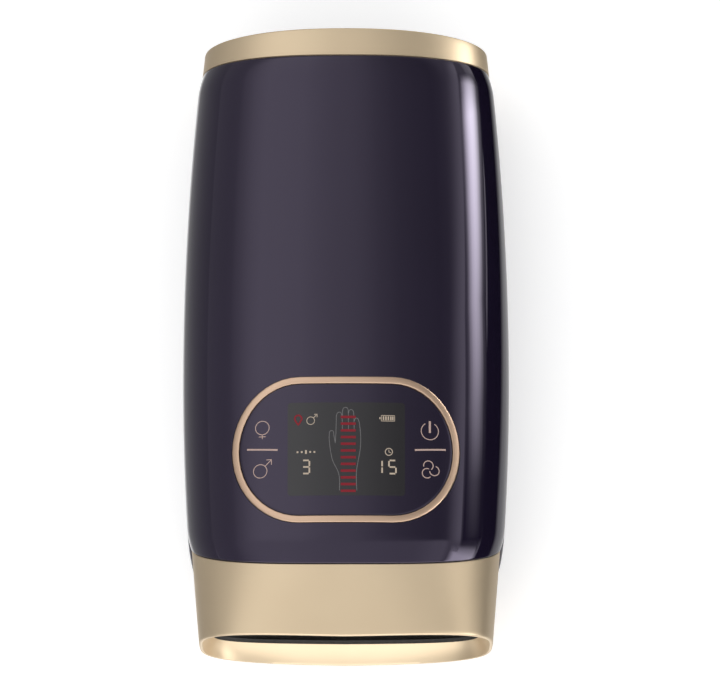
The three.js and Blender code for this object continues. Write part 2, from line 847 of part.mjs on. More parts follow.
function upperFrame() {
  const arch = arcPanel(0, Math.PI, ringCount / 2, frameFrontY, frameRearY, tunnelSizes(0), tunnelSizes(frameWall));
  arch.translate(0, 0, fitGap / 2);
  const postFrom = (x) => tunnelTop(Math.abs(x) + postRadius, frameWall) + frameWall / 2;
  const standing = (x, y) => post(postRadius, x, y, postFrom(x), boardBottom - fitGap, smallRoundCount);
  const posts = [-1, 1].flatMap((side) => [
    standing(side * displayPostX, panelY - displayPostSpread),
    standing(side * displayPostX, panelY + displayPostSpread),
    standing(side * mainPostX, mainBoardFrontY + mainPostInset),
    standing(side * mainPostX, mainBoardRearY - mainPostInset),
  ]);
  const holes = [
    post(hoseRadius + hoseGap, -hoseLaneX, padMiddle(2), padCeiling, upperFrameHeight + overrun),
    post(hoseRadius + hoseGap, hoseLaneX, padMiddle(1), padCeiling, upperFrameHeight + overrun),
    post(hoseRadius + hoseGap, wristInletX, wristInletY, padCeiling, upperFrameHeight + overrun),
  ];
  return cut(join(arch, ...posts), ...holes);
}

function lowerFrame() {
  const arch = arcPanel(-Math.PI, 0, ringCount / 2, frameFrontY, frameRearY, tunnelSizes(0), tunnelSizes(frameWall));
  arch.translate(0, 0, -fitGap / 2);
  const bossTop = tunnelBottom(footX + bossRadius, frameWall) - frameWall / 2;
  const bosses = footPlaces.map(([x, y]) => post(bossRadius, x, y, floorZ + fitGap, bossTop, smallRoundCount));
  const bores = footPlaces.map(([x, y]) => {
    return post(screwRadius + fitGap, x, y, floorZ - overrun, screwTip() + fitGap, smallRoundCount);
  });
  const hoseHole = post(hoseRadius + hoseGap, -lowerLaneX, lowerInletY, -baseDrop, -lowerCellTop, smallRoundCount);
  return cut(join(arch, ...bosses), ...bores, hoseHole);
}

function rearBulkhead() {
  const rows = [frameRearY + fitGap, bulkheadBackY].map((y) => ringAngles(ringCount).map((angle) => {
    const height = Math.sin(angle) < 0 ? lowerFrameHeight : upperFrameHeight;
    return sectionPoint(framePower, angle, y, frameHalfWidth, height, upperFrameHeight);
  }));
  return loft(rows);
}

function padSpan(number) {
  const from = padFrontY + number * (padLength + padBreak);
  return [from, from + padLength];
}

function padMiddle(number) {
  const [from, to] = padSpan(number);
  return (from + to) / 2;
}

// A cell is flat toward the pad and follows the frame on its other side
function airCell(y0, y1, halfWidth, surfaceAt, flat) {
  const steps = smallRoundCount;
  const across = Array.from({ length: steps + 1 }, (_, step) => halfWidth * ((2 * step) / steps - 1));
  const rows = [y0, y1].map((y) => [
    ...across.map((x) => new THREE.Vector3(x, y, surfaceAt(x))),
    new THREE.Vector3(halfWidth, y, flat),
    new THREE.Vector3(-halfWidth, y, flat),
  ]);
  return loft(rows);
}

function upperCell(number) {
  const [from, to] = padSpan(number);
  return airCell(from + cellInset, to - cellInset, padHalfWidth,
    (x) => tunnelTop(x, frameWall) - fitGap, padCeiling + fitGap);
}

function lowerCell() {
  return airCell(padFrontY + 2 * padBreak, padRearY - 2 * padBreak, lowerCellHalfWidth,
    (x) => tunnelBottom(x, frameWall) + fitGap, -lowerCellTop);
}

function upperPad(number) {
  const [from, to] = padSpan(number);
  return softBox(-padHalfWidth, padHalfWidth, from, to, padCeiling - padThickness, padCeiling, padEdge);
}

function nodule(x, y) {
  const sphereRadius = (noduleRadius ** 2 + noduleHeight ** 2) / (2 * noduleHeight);
  const sink = restThickness / 2;
  const profile = [
    [0, restTop - sink],
    [noduleRadius, restTop - sink],
    [noduleRadius, restTop],
    [noduleRadius / 2, restTop - sphereRadius + noduleHeight + Math.sqrt(sphereRadius ** 2 - (noduleRadius / 2) ** 2)],
    [0, restTop + noduleHeight],
  ];
  return lathe(profile, x, y, smallRoundCount);
}

function palmRest() {
  const cushion = softBox(-padHalfWidth, padHalfWidth, padFrontY, padRearY, restBottom, restTop, padEdge);
  const nodules = [];
  for (let column = 0; column < noduleColumns; column += 1) {
    for (let row = 0; row < noduleRows; row += 1) {
      nodules.push(nodule((column - (noduleColumns - 1) / 2) * noduleSpacingX,
        noduleMiddleY + (row - (noduleRows - 1) / 2) * noduleSpacingY));
    }
  }
  return join(cushion, ...nodules);
}

function heatingFilm() {
  return box(-filmHalfWidth, filmHalfWidth, padFrontY + filmFrontInset, padRearY - filmRearInset,
    restBottom - fitGap - filmThickness, restBottom - fitGap);
}

function sideLiner(side) {
  const outerInset = frameWall + fitGap;
  const edgeShare = (padHalfWidth + clothGap) / (frameHalfWidth - outerInset);
  const reach = Math.acos(edgeShare ** (framePower / 2));
  const panel = arcPanel(-reach, reach, ringCount / 4, frameFrontY + clothGap, padRearY, tunnelSizes(outerInset),
    tunnelSizes(outerInset + clothThickness));
  if (side > 0) {
    return panel;
  }
  panel.scale(-1, 1, 1);
  panel.index.array.reverse();
  return panel;
}

function endLiner() {
  const inset = frameWall + fitGap;
  const back = frameRearY - fitGap;
  const [halfWidth, upper, lower] = tunnelSizes(inset);
  const rows = [back - clothThickness, back].map((y) => ringAngles(ringCount).map((angle) => {
    return sectionPoint(framePower, angle, y, halfWidth, Math.sin(angle) < 0 ? lower : upper, upper);
  }));
  return loft(rows);
}

function battery() {
  return softBox(-batteryHalfWidth, batteryHalfWidth, batteryY - batteryLength / 2, batteryY + batteryLength / 2,
    floorZ + fitGap, batteryTop, batteryEdge);
}

function foot(x, y) {
  const profile = [
    [0, -baseDrop - footHeight],
    [footRadius - footEdge, -baseDrop - footHeight],
    [footRadius, -baseDrop - footHeight + footEdge],
    [footRadius, -baseDrop - fitGap],
    [0, -baseDrop - fitGap],
  ];
  return lathe(profile, x, y, 2 * smallRoundCount);
}

function screwHeadBottom() {
  return -baseDrop;
}

function screwHeadTop() {
  return screwHeadBottom() + screwHeadHeight;
}

function screwTip() {
  return screwHeadTop() + screwLength;
}

function baseScrew(x, y) {
  const profile = [
    [0, screwHeadBottom()],
    [screwHeadRadius, screwHeadBottom()],
    [screwHeadRadius, screwHeadTop()],
    [screwRadius, screwHeadTop()],
    [screwRadius, screwTip() - screwRadius],
    [0, screwTip()],
  ];
  return lathe(profile, x, y, smallRoundCount);
}

// The pump lies across the rear compartment: motor can, then head
function pumpHeadX() {
  return pumpCanX + pumpCanLength + fitGap;
}

function pumpMotor() {
  const can = rod(pumpCanRadius, pumpCanX, pumpCanX + pumpCanLength, pumpY, pumpZ);
  const bore = rod(pumpCanRadius - pumpCanWall, pumpCanX + pumpCanWall, pumpCanX + pumpCanLength + overrun, pumpY, pumpZ);
  return cut(can, bore);
}

function pumpHead() {
  const from = pumpHeadX();
  const to = from + pumpHeadLength;
  const block = softBox(from, to, pumpY - pumpHeadHalf, pumpY + pumpHeadHalf,
    pumpZ - pumpHeadHalf, pumpZ + pumpHeadHalf, pumpHeadEdge);
  const recess = rod(pumpRecessRadius, from - overrun, from + pumpRecessDepth, pumpY, pumpZ);
  const top = pumpZ + pumpHeadHalf;
  const nozzle = post(nozzleRadius, pumpOutletX(), railMiddleY(), top - pumpHeadEdge, top + nozzleLength,
    smallRoundCount);
  return join(cut(block, recess), nozzle);
}

function pumpRotor() {
  const from = pumpCanX + pumpCanWall + fitGap;
  const crankFrom = pumpHeadX() + crankInset;
  const shaft = rod(shaftRadius, from, crankFrom + crankLength, pumpY, pumpZ, smallRoundCount);
  const armature = rod(armatureRadius, from + armatureInset, from + armatureInset + armatureLength, pumpY, pumpZ);
  const crank = rod(crankRadius, crankFrom, crankFrom + crankLength, pumpY, pumpZ + crankOffset);
  return join(armature, shaft, crank);
}

function pumpSaddle() {
  const middle = pumpCanX + pumpCanLength / 2;
  const block = box(middle - saddleHalfWidth, middle + saddleHalfWidth, pumpY - saddleHalfDepth,
    pumpY + saddleHalfDepth, floorZ + fitGap, pumpZ - saddleDrop);
  const bed = rod(pumpCanRadius + fitGap, pumpCanX - overrun, pumpHeadX() + overrun, pumpY, pumpZ, 2 * roundCount);
  return cut(block, bed);
}

function railFrontY() {
  return bulkheadBackY + fitGap;
}

function railMiddleY() {
  return railFrontY() + railDepth / 2;
}

function railMiddleZ() {
  return railBottom + railHeight / 2;
}

function nozzleBack(x) {
  const back = railFrontY() + railDepth;
  const geometry = new THREE.CylinderGeometry(nozzleRadius, nozzleRadius, nozzleLength + railDepth / 2, smallRoundCount);
  return geometry.translate(x, back + nozzleLength / 2 - railDepth / 4, railMiddleZ());
}

function airRail() {
  const rail = box(-railHalfLength, railHalfLength, railFrontY(), railFrontY() + railDepth,
    railBottom, railBottom + railHeight);
  const inlet = post(nozzleRadius, pumpOutletX(), railMiddleY(), railBottom - nozzleLength, railMiddleZ(),
    smallRoundCount);
  const outlets = [-hoseLaneX, hoseLaneX, railEndX(), -railEndX()].map(nozzleBack);
  return join(rail, inlet, ...outlets);
}

function railEndX() {
  return railHalfLength - 2 * nozzleRadius;
}

function pumpOutletX() {
  return pumpHeadX() + pumpHeadLength / 2;
}

function valveBody(x) {
  const bottom = railBottom + railHeight + fitGap;
  const block = softBox(x - valveWidth / 2, x + valveWidth / 2, railFrontY(), railFrontY() + valveDepth,
    bottom, bottom + valveHeight, valveEdge);
  const bore = post(valveBoreRadius, x, valveMiddleY(), bottom + valveFloor, bottom + valveHeight + overrun);
  return cut(block, bore);
}

function valveMiddleY() {
  return railFrontY() + valveDepth / 2;
}

function valveTop() {
  return railBottom + railHeight + fitGap + valveHeight;
}

function valvePlunger(x) {
  const top = valveTop() + plungerProud;
  return post(plungerRadius, x, valveMiddleY(), top - plungerLength, top);
}

class Helix extends THREE.Curve {
  constructor(radius, height, turns) {
    super();
    this.radius = radius;
    this.height = height;
    this.turns = turns;
  }

  getPoint(share, target = new THREE.Vector3()) {
    const angle = 2 * Math.PI * this.turns * share;
    return target.set(this.radius * Math.cos(angle), this.radius * Math.sin(angle), this.height * share);
  }
}

function ringShape(radius, sides) {
  const points = ringAngles(sides).map((angle) => {
    return new THREE.Vector2(radius * Math.cos(angle), radius * Math.sin(angle));
  });
  return new THREE.Shape(points);
}

function valveSpring(x) {
  const from = railBottom + railHeight + fitGap + valveFloor + fitGap + springWire;
  const to = valveTop() + plungerProud - plungerLength - fitGap - springWire;
  const path = new Helix(springRadius, to - from, springTurns);
  const wire = ringShape(springWire, springSides);
  const coil = new THREE.ExtrudeGeometry(wire, { steps: springSteps, extrudePath: path });
  return coil.translate(x, valveMiddleY(), from);
}

// A hose along straight runs with rounded corners
function hose(points) {
  const path = new THREE.CurvePath();
  let from = points[0];
  for (let corner = 1; corner < points.length - 1; corner += 1) {
    const here = points[corner];
    const before = here.clone().add(from.clone().sub(here).setLength(hoseBend));
    const after = here.clone().add(points[corner + 1].clone().sub(here).setLength(hoseBend));
    path.add(new THREE.LineCurve3(from, before));
    path.add(new THREE.QuadraticBezierCurve3(before, here, after));
    from = after;
  }
  path.add(new THREE.LineCurve3(from, points[points.length - 1]));
  const steps = Math.ceil(path.getLength() / hoseStep);
  return new THREE.ExtrudeGeometry(ringShape(hoseRadius, hoseSides), { steps, extrudePath: path });
}

function laneHeight(x, y) {
  const [halfWidth, halfHeight] = barrelAt(y);
  const roof = heightOver(x, halfWidth - shellWall, halfHeight - shellWall, bodyPower);
  return (tunnelTop(x, 0) + roof) / 2;
}

function hoseStartY() {
  return railFrontY() + railDepth + nozzleLength + fitGap;
}

function hoseToCell(x, number) {
  const y = padMiddle(number);
  const lane = laneHeight(x, railFrontY() + railDepth);
  const end = tunnelTop(Math.abs(x) - hoseRadius, frameWall) + fitGap;
  return hose([
    new THREE.Vector3(x, hoseStartY(), railMiddleZ()),
    new THREE.Vector3(x, hoseStartY() + hoseReach, railMiddleZ()),
    new THREE.Vector3(x, hoseStartY() + hoseReach, lane),
    new THREE.Vector3(x, y, lane),
    new THREE.Vector3(x, y, end),
  ]);
}

function wristHose() {
  const start = railEndX();
  const back = hoseStartY() + hoseReach;
  const rise = wristLaneGap + hoseRadius;
  const end = tunnelTop(wristInletX - hoseRadius, frameWall) + fitGap;
  return hose([
    new THREE.Vector3(start, hoseStartY(), railMiddleZ()),
    new THREE.Vector3(start, back, railMiddleZ()),
    new THREE.Vector3(start, back, laneHeight(start, back)),
    new THREE.Vector3(start, wristShiftRearY, tunnelTop(start, 0) + rise),
    new THREE.Vector3(wristLaneX, wristShiftFrontY, tunnelTop(wristLaneX, 0) + rise),
    new THREE.Vector3(wristLaneX, wristTurnY, tunnelTop(wristLaneX, 0) + rise),
    new THREE.Vector3(wristInletX, wristInletY, tunnelTop(wristInletX, 0) + rise),
    new THREE.Vector3(wristInletX, wristInletY, end),
  ]);
}

function lowerHose() {
  const back = hoseStartY() + hoseReach;
  const lane = tunnelBottom(lowerLaneX, 0) - lowerLaneDrop;
  const end = tunnelBottom(lowerLaneX - hoseRadius, frameWall) - fitGap;
  return hose([
    new THREE.Vector3(-railEndX(), hoseStartY(), railMiddleZ()),
    new THREE.Vector3(-railEndX(), back, railMiddleZ()),
    new THREE.Vector3(-lowerLaneX, back, lane),
    new THREE.Vector3(-lowerLaneX, lowerInletY, lane),
    new THREE.Vector3(-lowerLaneX, lowerInletY, end),
  ]);
}

function pumpHose() {
  const from = pumpZ + pumpHeadHalf + nozzleLength + fitGap;
  return post(hoseRadius, pumpOutletX(), railMiddleY(), from, railBottom - nozzleLength - fitGap, smallRoundCount);
}

const parts = new THREE.Group();
parts.position.z = baseDrop + footHeight;

function addPart(name, geometry, look) {
  geometry.computeVertexNormals();
  const mesh = new THREE.Mesh(geometry, new THREE.MeshStandardMaterial(finish[look]));
  mesh.name = name;
  parts.add(mesh);
}

const tube = shellTube();
addPart('upper_shell', upperShell(tube), 'purple');
addPart('lower_shell', lowerShell(tube), 'purple');
addPart('front_collar', frontCollar(), 'champagne');
addPart('rear_band', rearBand(), 'champagne');
addPart('end_cover', endCover(), 'purple');
addPart('charge_socket', chargeSocket(), 'steel');
addPart('panel_lens', panelLens(), 'smoke');
addPart('panel_trim', panelTrim(), 'rose');
addPart('display_module', displayModule(), 'black');
addPart('display_board', displayBoard(), 'green');
addPart('main_board', mainBoard(), 'green');
addPart('ribbon_cable', ribbonCable(), 'white');
[[-touchX, touchFrontY], [-touchX, touchRearY], [touchX, touchFrontY], [touchX, touchRearY]].forEach(([x, y], step) => {
  addPart(`touch_contact_${step + 1}`, touchContact(x, y), 'black');
});
addPart('upper_frame', upperFrame(), 'white');
addPart('lower_frame', lowerFrame(), 'white');
addPart('rear_bulkhead', rearBulkhead(), 'white');
['wrist', 'palm', 'finger'].forEach((name, number) => {
  addPart(`${name}_cell`, upperCell(number), 'cell');
  addPart(`${name}_pad`, upperPad(number), 'cloth');
});
addPart('lower_cell', lowerCell(), 'cell');
addPart('palm_rest', palmRest(), 'cloth');
addPart('heating_film', heatingFilm(), 'film');
addPart('side_liner_left', sideLiner(-1), 'cloth');
addPart('side_liner_right', sideLiner(1), 'cloth');
addPart('end_liner', endLiner(), 'cloth');
addPart('battery', battery(), 'silver');
addPart('pump_motor', pumpMotor(), 'steel');
addPart('pump_head', pumpHead(), 'black');
addPart('pump_rotor', pumpRotor(), 'brass');
addPart('pump_saddle', pumpSaddle(), 'rubber');
addPart('air_rail', airRail(), 'white');
[-1, 0, 1].forEach((place, step) => {
  addPart(`valve_body_${step + 1}`, valveBody(place * valvePitch), 'black');
  addPart(`valve_plunger_${step + 1}`, valvePlunger(place * valvePitch), 'steel');
  addPart(`valve_spring_${step + 1}`, valveSpring(place * valvePitch), 'steel');
});
addPart('finger_hose', hoseToCell(-hoseLaneX, 2), 'hose');
addPart('palm_hose', hoseToCell(hoseLaneX, 1), 'hose');
addPart('wrist_hose', wristHose(), 'hose');
addPart('lower_hose', lowerHose(), 'hose');
addPart('pump_hose', pumpHose(), 'hose');
footPlaces.forEach(([x, y], step) => {
  addPart(`foot_${step + 1}`, foot(x, y), 'rubber');
  addPart(`base_screw_${step + 1}`, baseScrew(x, y), 'steel');
});

const handMassager = new THREE.Group();
handMassager.add(parts);

export default handMassager;
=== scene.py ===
# %% [markdown]
# # A hand massager, dressed for the camera
# The solids of the massager are already drawn and packed. This lesson loads them as a fixed frame and
# builds what the eye sees around them: lacquered shells, a champagne mouth, a glass panel with its
# printed signs, and the soft pads that close round the hand. Everything is in metres in the end, but the
# drawing is read more easily in millimetres, so one small helper turns one into the other.

import math

import bmesh
import bpy
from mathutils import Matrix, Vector


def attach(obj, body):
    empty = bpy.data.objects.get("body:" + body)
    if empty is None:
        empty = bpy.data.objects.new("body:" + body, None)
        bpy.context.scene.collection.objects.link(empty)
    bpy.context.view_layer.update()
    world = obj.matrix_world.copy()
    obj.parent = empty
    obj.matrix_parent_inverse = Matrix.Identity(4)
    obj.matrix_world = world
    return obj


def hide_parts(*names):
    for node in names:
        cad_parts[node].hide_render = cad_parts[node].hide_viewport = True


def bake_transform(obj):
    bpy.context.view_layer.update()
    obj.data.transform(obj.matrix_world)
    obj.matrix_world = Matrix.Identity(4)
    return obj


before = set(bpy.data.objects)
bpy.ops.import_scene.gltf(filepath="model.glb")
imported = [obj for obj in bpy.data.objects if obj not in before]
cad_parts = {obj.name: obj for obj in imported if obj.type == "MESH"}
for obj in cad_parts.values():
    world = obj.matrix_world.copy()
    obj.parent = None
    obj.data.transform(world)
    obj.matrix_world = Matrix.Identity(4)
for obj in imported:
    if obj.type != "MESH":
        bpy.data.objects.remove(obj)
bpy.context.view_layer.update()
scene = bpy.context.scene

# %% [markdown]
# ## The sizes of the housing
# The housing is a barrel. Each slice across it is a superellipse, a curve between an ellipse and a
# rectangle, and the slices shrink a little toward both ends. We could read the faceted solid and smooth
# it, but a lacquered surface shows every facet, so the surface is computed again from the same sizes.
# Heights are measured from the plane where the upper and lower shells meet.

# %% Sizes of the housing, in millimetres
MM = 0.001
PARTING = 48.5
POWER, FRAME_POWER = 2.5, 3
HALF_WIDTH, HALF_HEIGHT = 75, 51.5
CREST_Y, FRONT_Y, REAR_Y, BAND_END_Y = -13, -109.9, 126.2, 139.6
FRONT_TAPER, REAR_TAPER = (4, 1.6), (7.1, 4.1)
BASE, WALL, GAP = -46.5, 2.5, 0.3
PANEL_Y, PANEL_END, PANEL_HALF_HEIGHT, PANEL_STRAIGHT = -58.4, 30.4, 33.2, 20.9


def place(x, y, z):
    """A point of the drawing, in metres over the floor."""
    return (x * MM, y * MM, (z + PARTING) * MM)


def section(angle, power=POWER):
    """The superellipse at an angle, as shares of its half width and half height."""
    return tuple(math.copysign(abs(part) ** (2 / power), part) for part in (math.cos(angle), math.sin(angle)))


def barrel(y):
    """Half width and half height of the barrel at a station."""
    end, taper = (FRONT_Y, FRONT_TAPER) if y < CREST_Y else (REAR_Y, REAR_TAPER)
    share = ((y - CREST_Y) / (end - CREST_Y)) ** 2
    return HALF_WIDTH - taper[0] * share, HALF_HEIGHT - taper[1] * share


def body_top(x, y):
    """Height of the lacquered top over a point of the plan."""
    half_width, half_height = barrel(y)
    return half_height * (1 - min(abs(x) / half_width, 1) ** POWER) ** (1 / POWER)


print("height of the top at the panel:", round(body_top(0, PANEL_Y), 2), "mm")

# %% [markdown]
# ## The edges of the housing
# The front edge of the upper shell sweeps back toward the sides, and the lower shell's comes forward again
# just under the seam. The rim of the mouth sweeps back too, by a little, and is squarer than the barrel,
# because a hand is flat. Both shells roll in by 1.4 mm at their ends, so that the lacquer meets the metal
# bands in a soft shoulder. The flat base is cut across the barrel with a small round, made by a smooth
# maximum.

# %% Edges, bands and the flat base
SHOULDER, SHOULDER_DROP = 10.5, 1.4
RIM_Y, RIM_POWER = -142.2, 3.5
THROAT_Y, THROAT_POWER = -133.2, 4.8
FRONT_SWEEP, UPPER_EDGE_POWER, LOWER_EDGE_POWER = 15.7, 1.15, 6
RIM_SWEEP, THROAT_SWEEP, MOUTH_SWEEP_POWER, BAND_SWEEP = 1.85, 0.8, 1.3, 2.8
RIM_SIZE, RIM_TAPER = (66.6, 43.6), (2.7, 4.4)
BAND_SIZE, BAND_TAPER = (66.7, 45.5), (-1.4, -1.1)
BAND_BASE = BASE + 0.5


def front_edge(angle):
    up = section(angle)[1]
    return FRONT_Y + FRONT_SWEEP * (1 - abs(up)) ** (UPPER_EDGE_POWER if up > 0 else LOWER_EDGE_POWER)


def mouth_edge(angle, y, sweep, power):
    return y + sweep * abs(section(angle, power)[0]) ** MOUTH_SWEEP_POWER


def band_end(angle):
    return BAND_END_Y - BAND_SWEEP * section(angle)[0] ** 2


def shoulder(distance):
    return SHOULDER_DROP * (1 - min(distance / SHOULDER, 1)) ** 2


def collar(y):
    share = (y - RIM_Y) / (FRONT_Y - RIM_Y)
    return tuple(size + taper * share for size, taper in zip(RIM_SIZE, RIM_TAPER))


def band(y):
    share = (y - REAR_Y) / (BAND_END_Y - REAR_Y)
    return tuple(size + taper * share for size, taper in zip(BAND_SIZE, BAND_TAPER))


def soft_floor(z, floor, blend=2.4):
    """The larger of z and floor, with a round where they meet."""
    share = max(0, 1 - abs(z - floor) / blend)
    return max(z, floor) + share * share * blend / 4


def skin(angle, y, size, inset, floor, power=POWER):
    """A point of a skin: the section at a station, moved in by an inset, over a flat floor."""
    across, up = section(angle, power)
    half_width, half_height = size
    z = (half_height - inset) * up
    return ((half_width - inset) * across, y, soft_floor(z, floor + inset) if z < 0 else z)


print("front edge at the top and at the side:", front_edge(math.pi / 2), round(front_edge(0), 1))

# %% [markdown]
# ## Lofting
# Nearly every rigid piece here is a loft: a row of loops with the same number of points, joined loop to
# loop with four-sided faces. The ends are closed with a cap, unless the last loop joins the first and
# makes a ring. `solid` turns such a list into an object, points all faces outward, and shades it
# smoothly except where two faces meet at a real edge.

# %% Helpers that make solids
def loft(loops, ring=False):
    count = len(loops[0])
    points = [point for loop in loops for point in loop]
    faces = []
    for row in range(len(loops) if ring else len(loops) - 1):
        here, there = row * count, (row + 1) % len(loops) * count
        for step in range(count):
            after = (step + 1) % count
            faces.append((here + step, there + step, there + after, here + after))
    if not ring:
        faces += [tuple(range(count)), tuple(range((len(loops) - 1) * count, len(loops) * count))]
    return points, faces


def add_object(name, mesh):
    piece = bpy.data.objects.new(name, mesh)
    scene.collection.objects.link(piece)
    return piece


def shade(mesh, edge=35):
    mesh.shade_smooth()
    mesh.set_sharp_from_angle(angle=math.radians(edge))


def solid(name, parts, edge=35):
    """One object from one or more (points, faces) pairs, in the drawing's millimetres."""
    points, faces = [], []
    for part_points, part_faces in parts:
        start = len(points)
        points += [place(*point) for point in part_points]
        faces += [tuple(start + corner for corner in face) for face in part_faces]
    mesh = bpy.data.meshes.new(name)
    mesh.from_pydata(points, [], faces)
    work = bmesh.new()
    work.from_mesh(mesh)
    bmesh.ops.recalc_face_normals(work, faces=work.faces)
    work.to_mesh(mesh)
    work.free()
    shade(mesh, edge)
    return add_object(name, mesh)


def angles(start, end, steps):
    return [start + (end - start) * step / steps for step in range(steps + 1)]


def turn(steps):
    return [2 * math.pi * step / steps for step in range(steps)]


def around(x, y, radius, turned):
    """Points of a circle at the given angles."""
    return [(x + radius * math.cos(a), y + radius * math.sin(a)) for a in turned]


def rounded(radius, steps=4, start=0, end=math.pi / 2):
    """A round edge, as pairs of how far back and how far in."""
    return [(radius * (1 - math.cos(a)), radius * (1 - math.sin(a))) for a in angles(start, end, steps)]


print("a loft of two squares has", len(loft([[(0, 0, 0)] * 4, [(0, 0, 1)] * 4])[1]), "faces")

# %% [markdown]
# ## Cutting a hole in a curved skin
# A Boolean modifier cuts the panel's opening out of the upper shell. The cut leaves long thin faces round
# the hole, and a glossy skin would show them as dents. So the uncut shell is kept for a moment, and a
# Data Transfer modifier copies its smooth normals back onto the cut one. Both modifiers are applied.
# Near the seam the nearest face may be the flat edge of the shell, which points the wrong way, so only the
# points that lie clear of the seam take part.

# %% Helpers that cut
SEAM_SPACE = 5


def apply_modifiers(piece):
    depsgraph = bpy.context.evaluated_depsgraph_get()
    mesh = bpy.data.meshes.new_from_object(piece.evaluated_get(depsgraph))
    piece.modifiers.clear()
    piece.data = mesh


def over_parting(piece):
    """Height of each point over the parting plane, in millimetres."""
    return [v.co.z / MM - PARTING for v in piece.data.vertices]


def cut(piece, tools):
    """Cuts the tools out of a piece, and removes them."""
    smooth = add_object(piece.name + "_smooth", piece.data.copy())
    for tool in tools:
        knife = piece.modifiers.new("knife", "BOOLEAN")
        knife.object, knife.operation, knife.solver = tool, "DIFFERENCE", "EXACT"
    apply_modifiers(piece)
    clear = piece.vertex_groups.new(name="clear_of_seam")
    clear.add([n for n, height in enumerate(over_parting(piece)) if abs(height) > SEAM_SPACE], 1.0, "REPLACE")
    copy = piece.modifiers.new("gloss", "DATA_TRANSFER")
    copy.object, copy.use_loop_data, copy.data_types_loops = smooth, True, {"CUSTOM_NORMAL"}
    copy.loop_mapping, copy.vertex_group = "POLYINTERP_NEAREST", clear.name
    apply_modifiers(piece)
    for helper in [smooth, *tools]:
        bpy.data.objects.remove(helper)


def prism(outline, z0, z1):
    return loft([[(x, y, z) for x, y in outline] for z in (z0, z1)])


print("cutting tools ready")

# %% [markdown]
# ## The two lacquered shells
# Each shell is swept round the barrel: at every angle there is one closed profile, which runs back along
# the outside, turns over a small rounded edge, and returns along the inside. The upper shell takes the
# angles over the parting plane and the lower shell those under it.

# %% Upper and lower shell
EDGE_ROUND = 0.4
STATION_STEP, NEAR_STATIONS = 3, [0.9, 1.6, 2.6, 4, 5.6, 7.4, 9.2, SHOULDER]
SEAM, ROUND_STEPS, INSIDE_STEPS = 0.0007, 150, 24


def shell_profile(angle):
    start, end = front_edge(angle), REAR_Y
    span = end - start - 2 * SHOULDER
    middle = int((REAR_Y - FRONT_Y - 2 * SHOULDER) / STATION_STEP)
    stations = [(start + back, drop) for back, drop in rounded(EDGE_ROUND)]
    stations += [(start + near, 0) for near in NEAR_STATIONS]
    stations += [(start + SHOULDER + span * step / middle, 0) for step in range(1, middle)]
    stations += [(end - near, 0) for near in reversed(NEAR_STATIONS)]
    stations += [(end - back, drop) for back, drop in reversed(rounded(EDGE_ROUND))]
    outside = [skin(angle, y, barrel(y), drop + shoulder(y - start) + shoulder(end - y), BASE)
               for y, drop in stations]
    return outside + [skin(angle, y, barrel(y), WALL, BASE) for y in angles(end, start, INSIDE_STEPS)]


def shell(name, start, end):
    return solid(name, [loft([shell_profile(a) for a in angles(start, end, ROUND_STEPS)])])


upper_shell = shell("upper_shell_lacquer", SEAM, math.pi - SEAM)
lower_shell = shell("lower_shell_lacquer", -SEAM, SEAM - math.pi)
print("faces of a shell:", len(upper_shell.data.polygons))

# %% [markdown]
# ### What is cut out of the shells
# The panel drops into an oval hole in the top, and five slots in the base let air to the pump. A boolean
# with a solid knife is the plain way to a clean hole in a curved shell. It would leave uneven shading round
# the hole, so `cut` takes the normals back from the uncut shell.

# %% Opening of the panel and the air slots
SLOT_Y, SLOT_STEP, SLOT_HALF_WIDTH, SLOT_HALF_LENGTH, SLOT_COUNT = 104, 5, 1, 7, 5


def panel_outline(offset, share=1.0, arc_steps=24, straight=12):
    """The oval of the panel, offset outward, shrunk toward its middle by a share."""
    rows = []
    for side in (1, -1):
        start = -math.pi / 2 if side > 0 else math.pi / 2
        rows += [(side, math.cos(a), math.sin(a)) for a in angles(start, start + math.pi, arc_steps)]
        rows += [(side * (1 - 2 * step / straight), 0, side) for step in range(1, straight)]
    return [((PANEL_STRAIGHT * along + (PANEL_END + offset) * across) * share,
             PANEL_Y + (PANEL_HALF_HEIGHT + offset) * up * share) for along, across, up in rows]


def slot_outline(x, y, half_width, half_length, steps=8):
    straight = half_length - half_width
    return (around(x, y + straight, half_width, angles(0, math.pi, steps)) +
            around(x, y - straight, half_width, angles(math.pi, 2 * math.pi, steps)))


slots = [slot_outline(SLOT_STEP * (n - SLOT_COUNT // 2), SLOT_Y, SLOT_HALF_WIDTH, SLOT_HALF_LENGTH)
         for n in range(SLOT_COUNT)]
cut(upper_shell, [solid("opening", [prism(panel_outline(GAP), 10, 70)])])
cut(lower_shell, [solid(f"slot_{n}", [prism(outline, -60, -40)]) for n, outline in enumerate(slots)])
print("faces after the cuts:", len(upper_shell.data.polygons), len(lower_shell.data.polygons))

# %% [markdown]
# ## The champagne mouth
# The front collar is one ring. Its profile starts at the shell, runs forward along the outside, rolls
# over a lip of under a millimetre, and falls in a funnel that guides the hand to a squarer throat. Behind
# it the wall runs back to the shell, where a spigot reaches under the lacquer. Along the way each point
# moves from the barrel's section to the rim's, so the corners grow out of a soft oval. A ring has no caps.

# %% Front collar and rear band
RING_STEPS = 360
LIP, METAL_EDGE, COLLAR_WALL, BAND_WALL = 0.9, 0.25, 2.4, 2.2
THROAT_SIZE, THROAT_WALL, FUNNEL_BACK = (61.5, 36.2), 1.8, 7
COLLAR_SHARES = (0, 0.08, 0.18, 0.3, 0.42, 0.55, 0.68, 0.8, 0.9, 0.96, 1)
SPIGOT, SPIGOT_WALL = 5, 1.8


def ring(name, profile):
    return solid(name, [loft([profile(a) for a in turn(RING_STEPS)], ring=True)])


def mix(here, there, share):
    return tuple(one + (two - one) * share for one, two in zip(here, there))


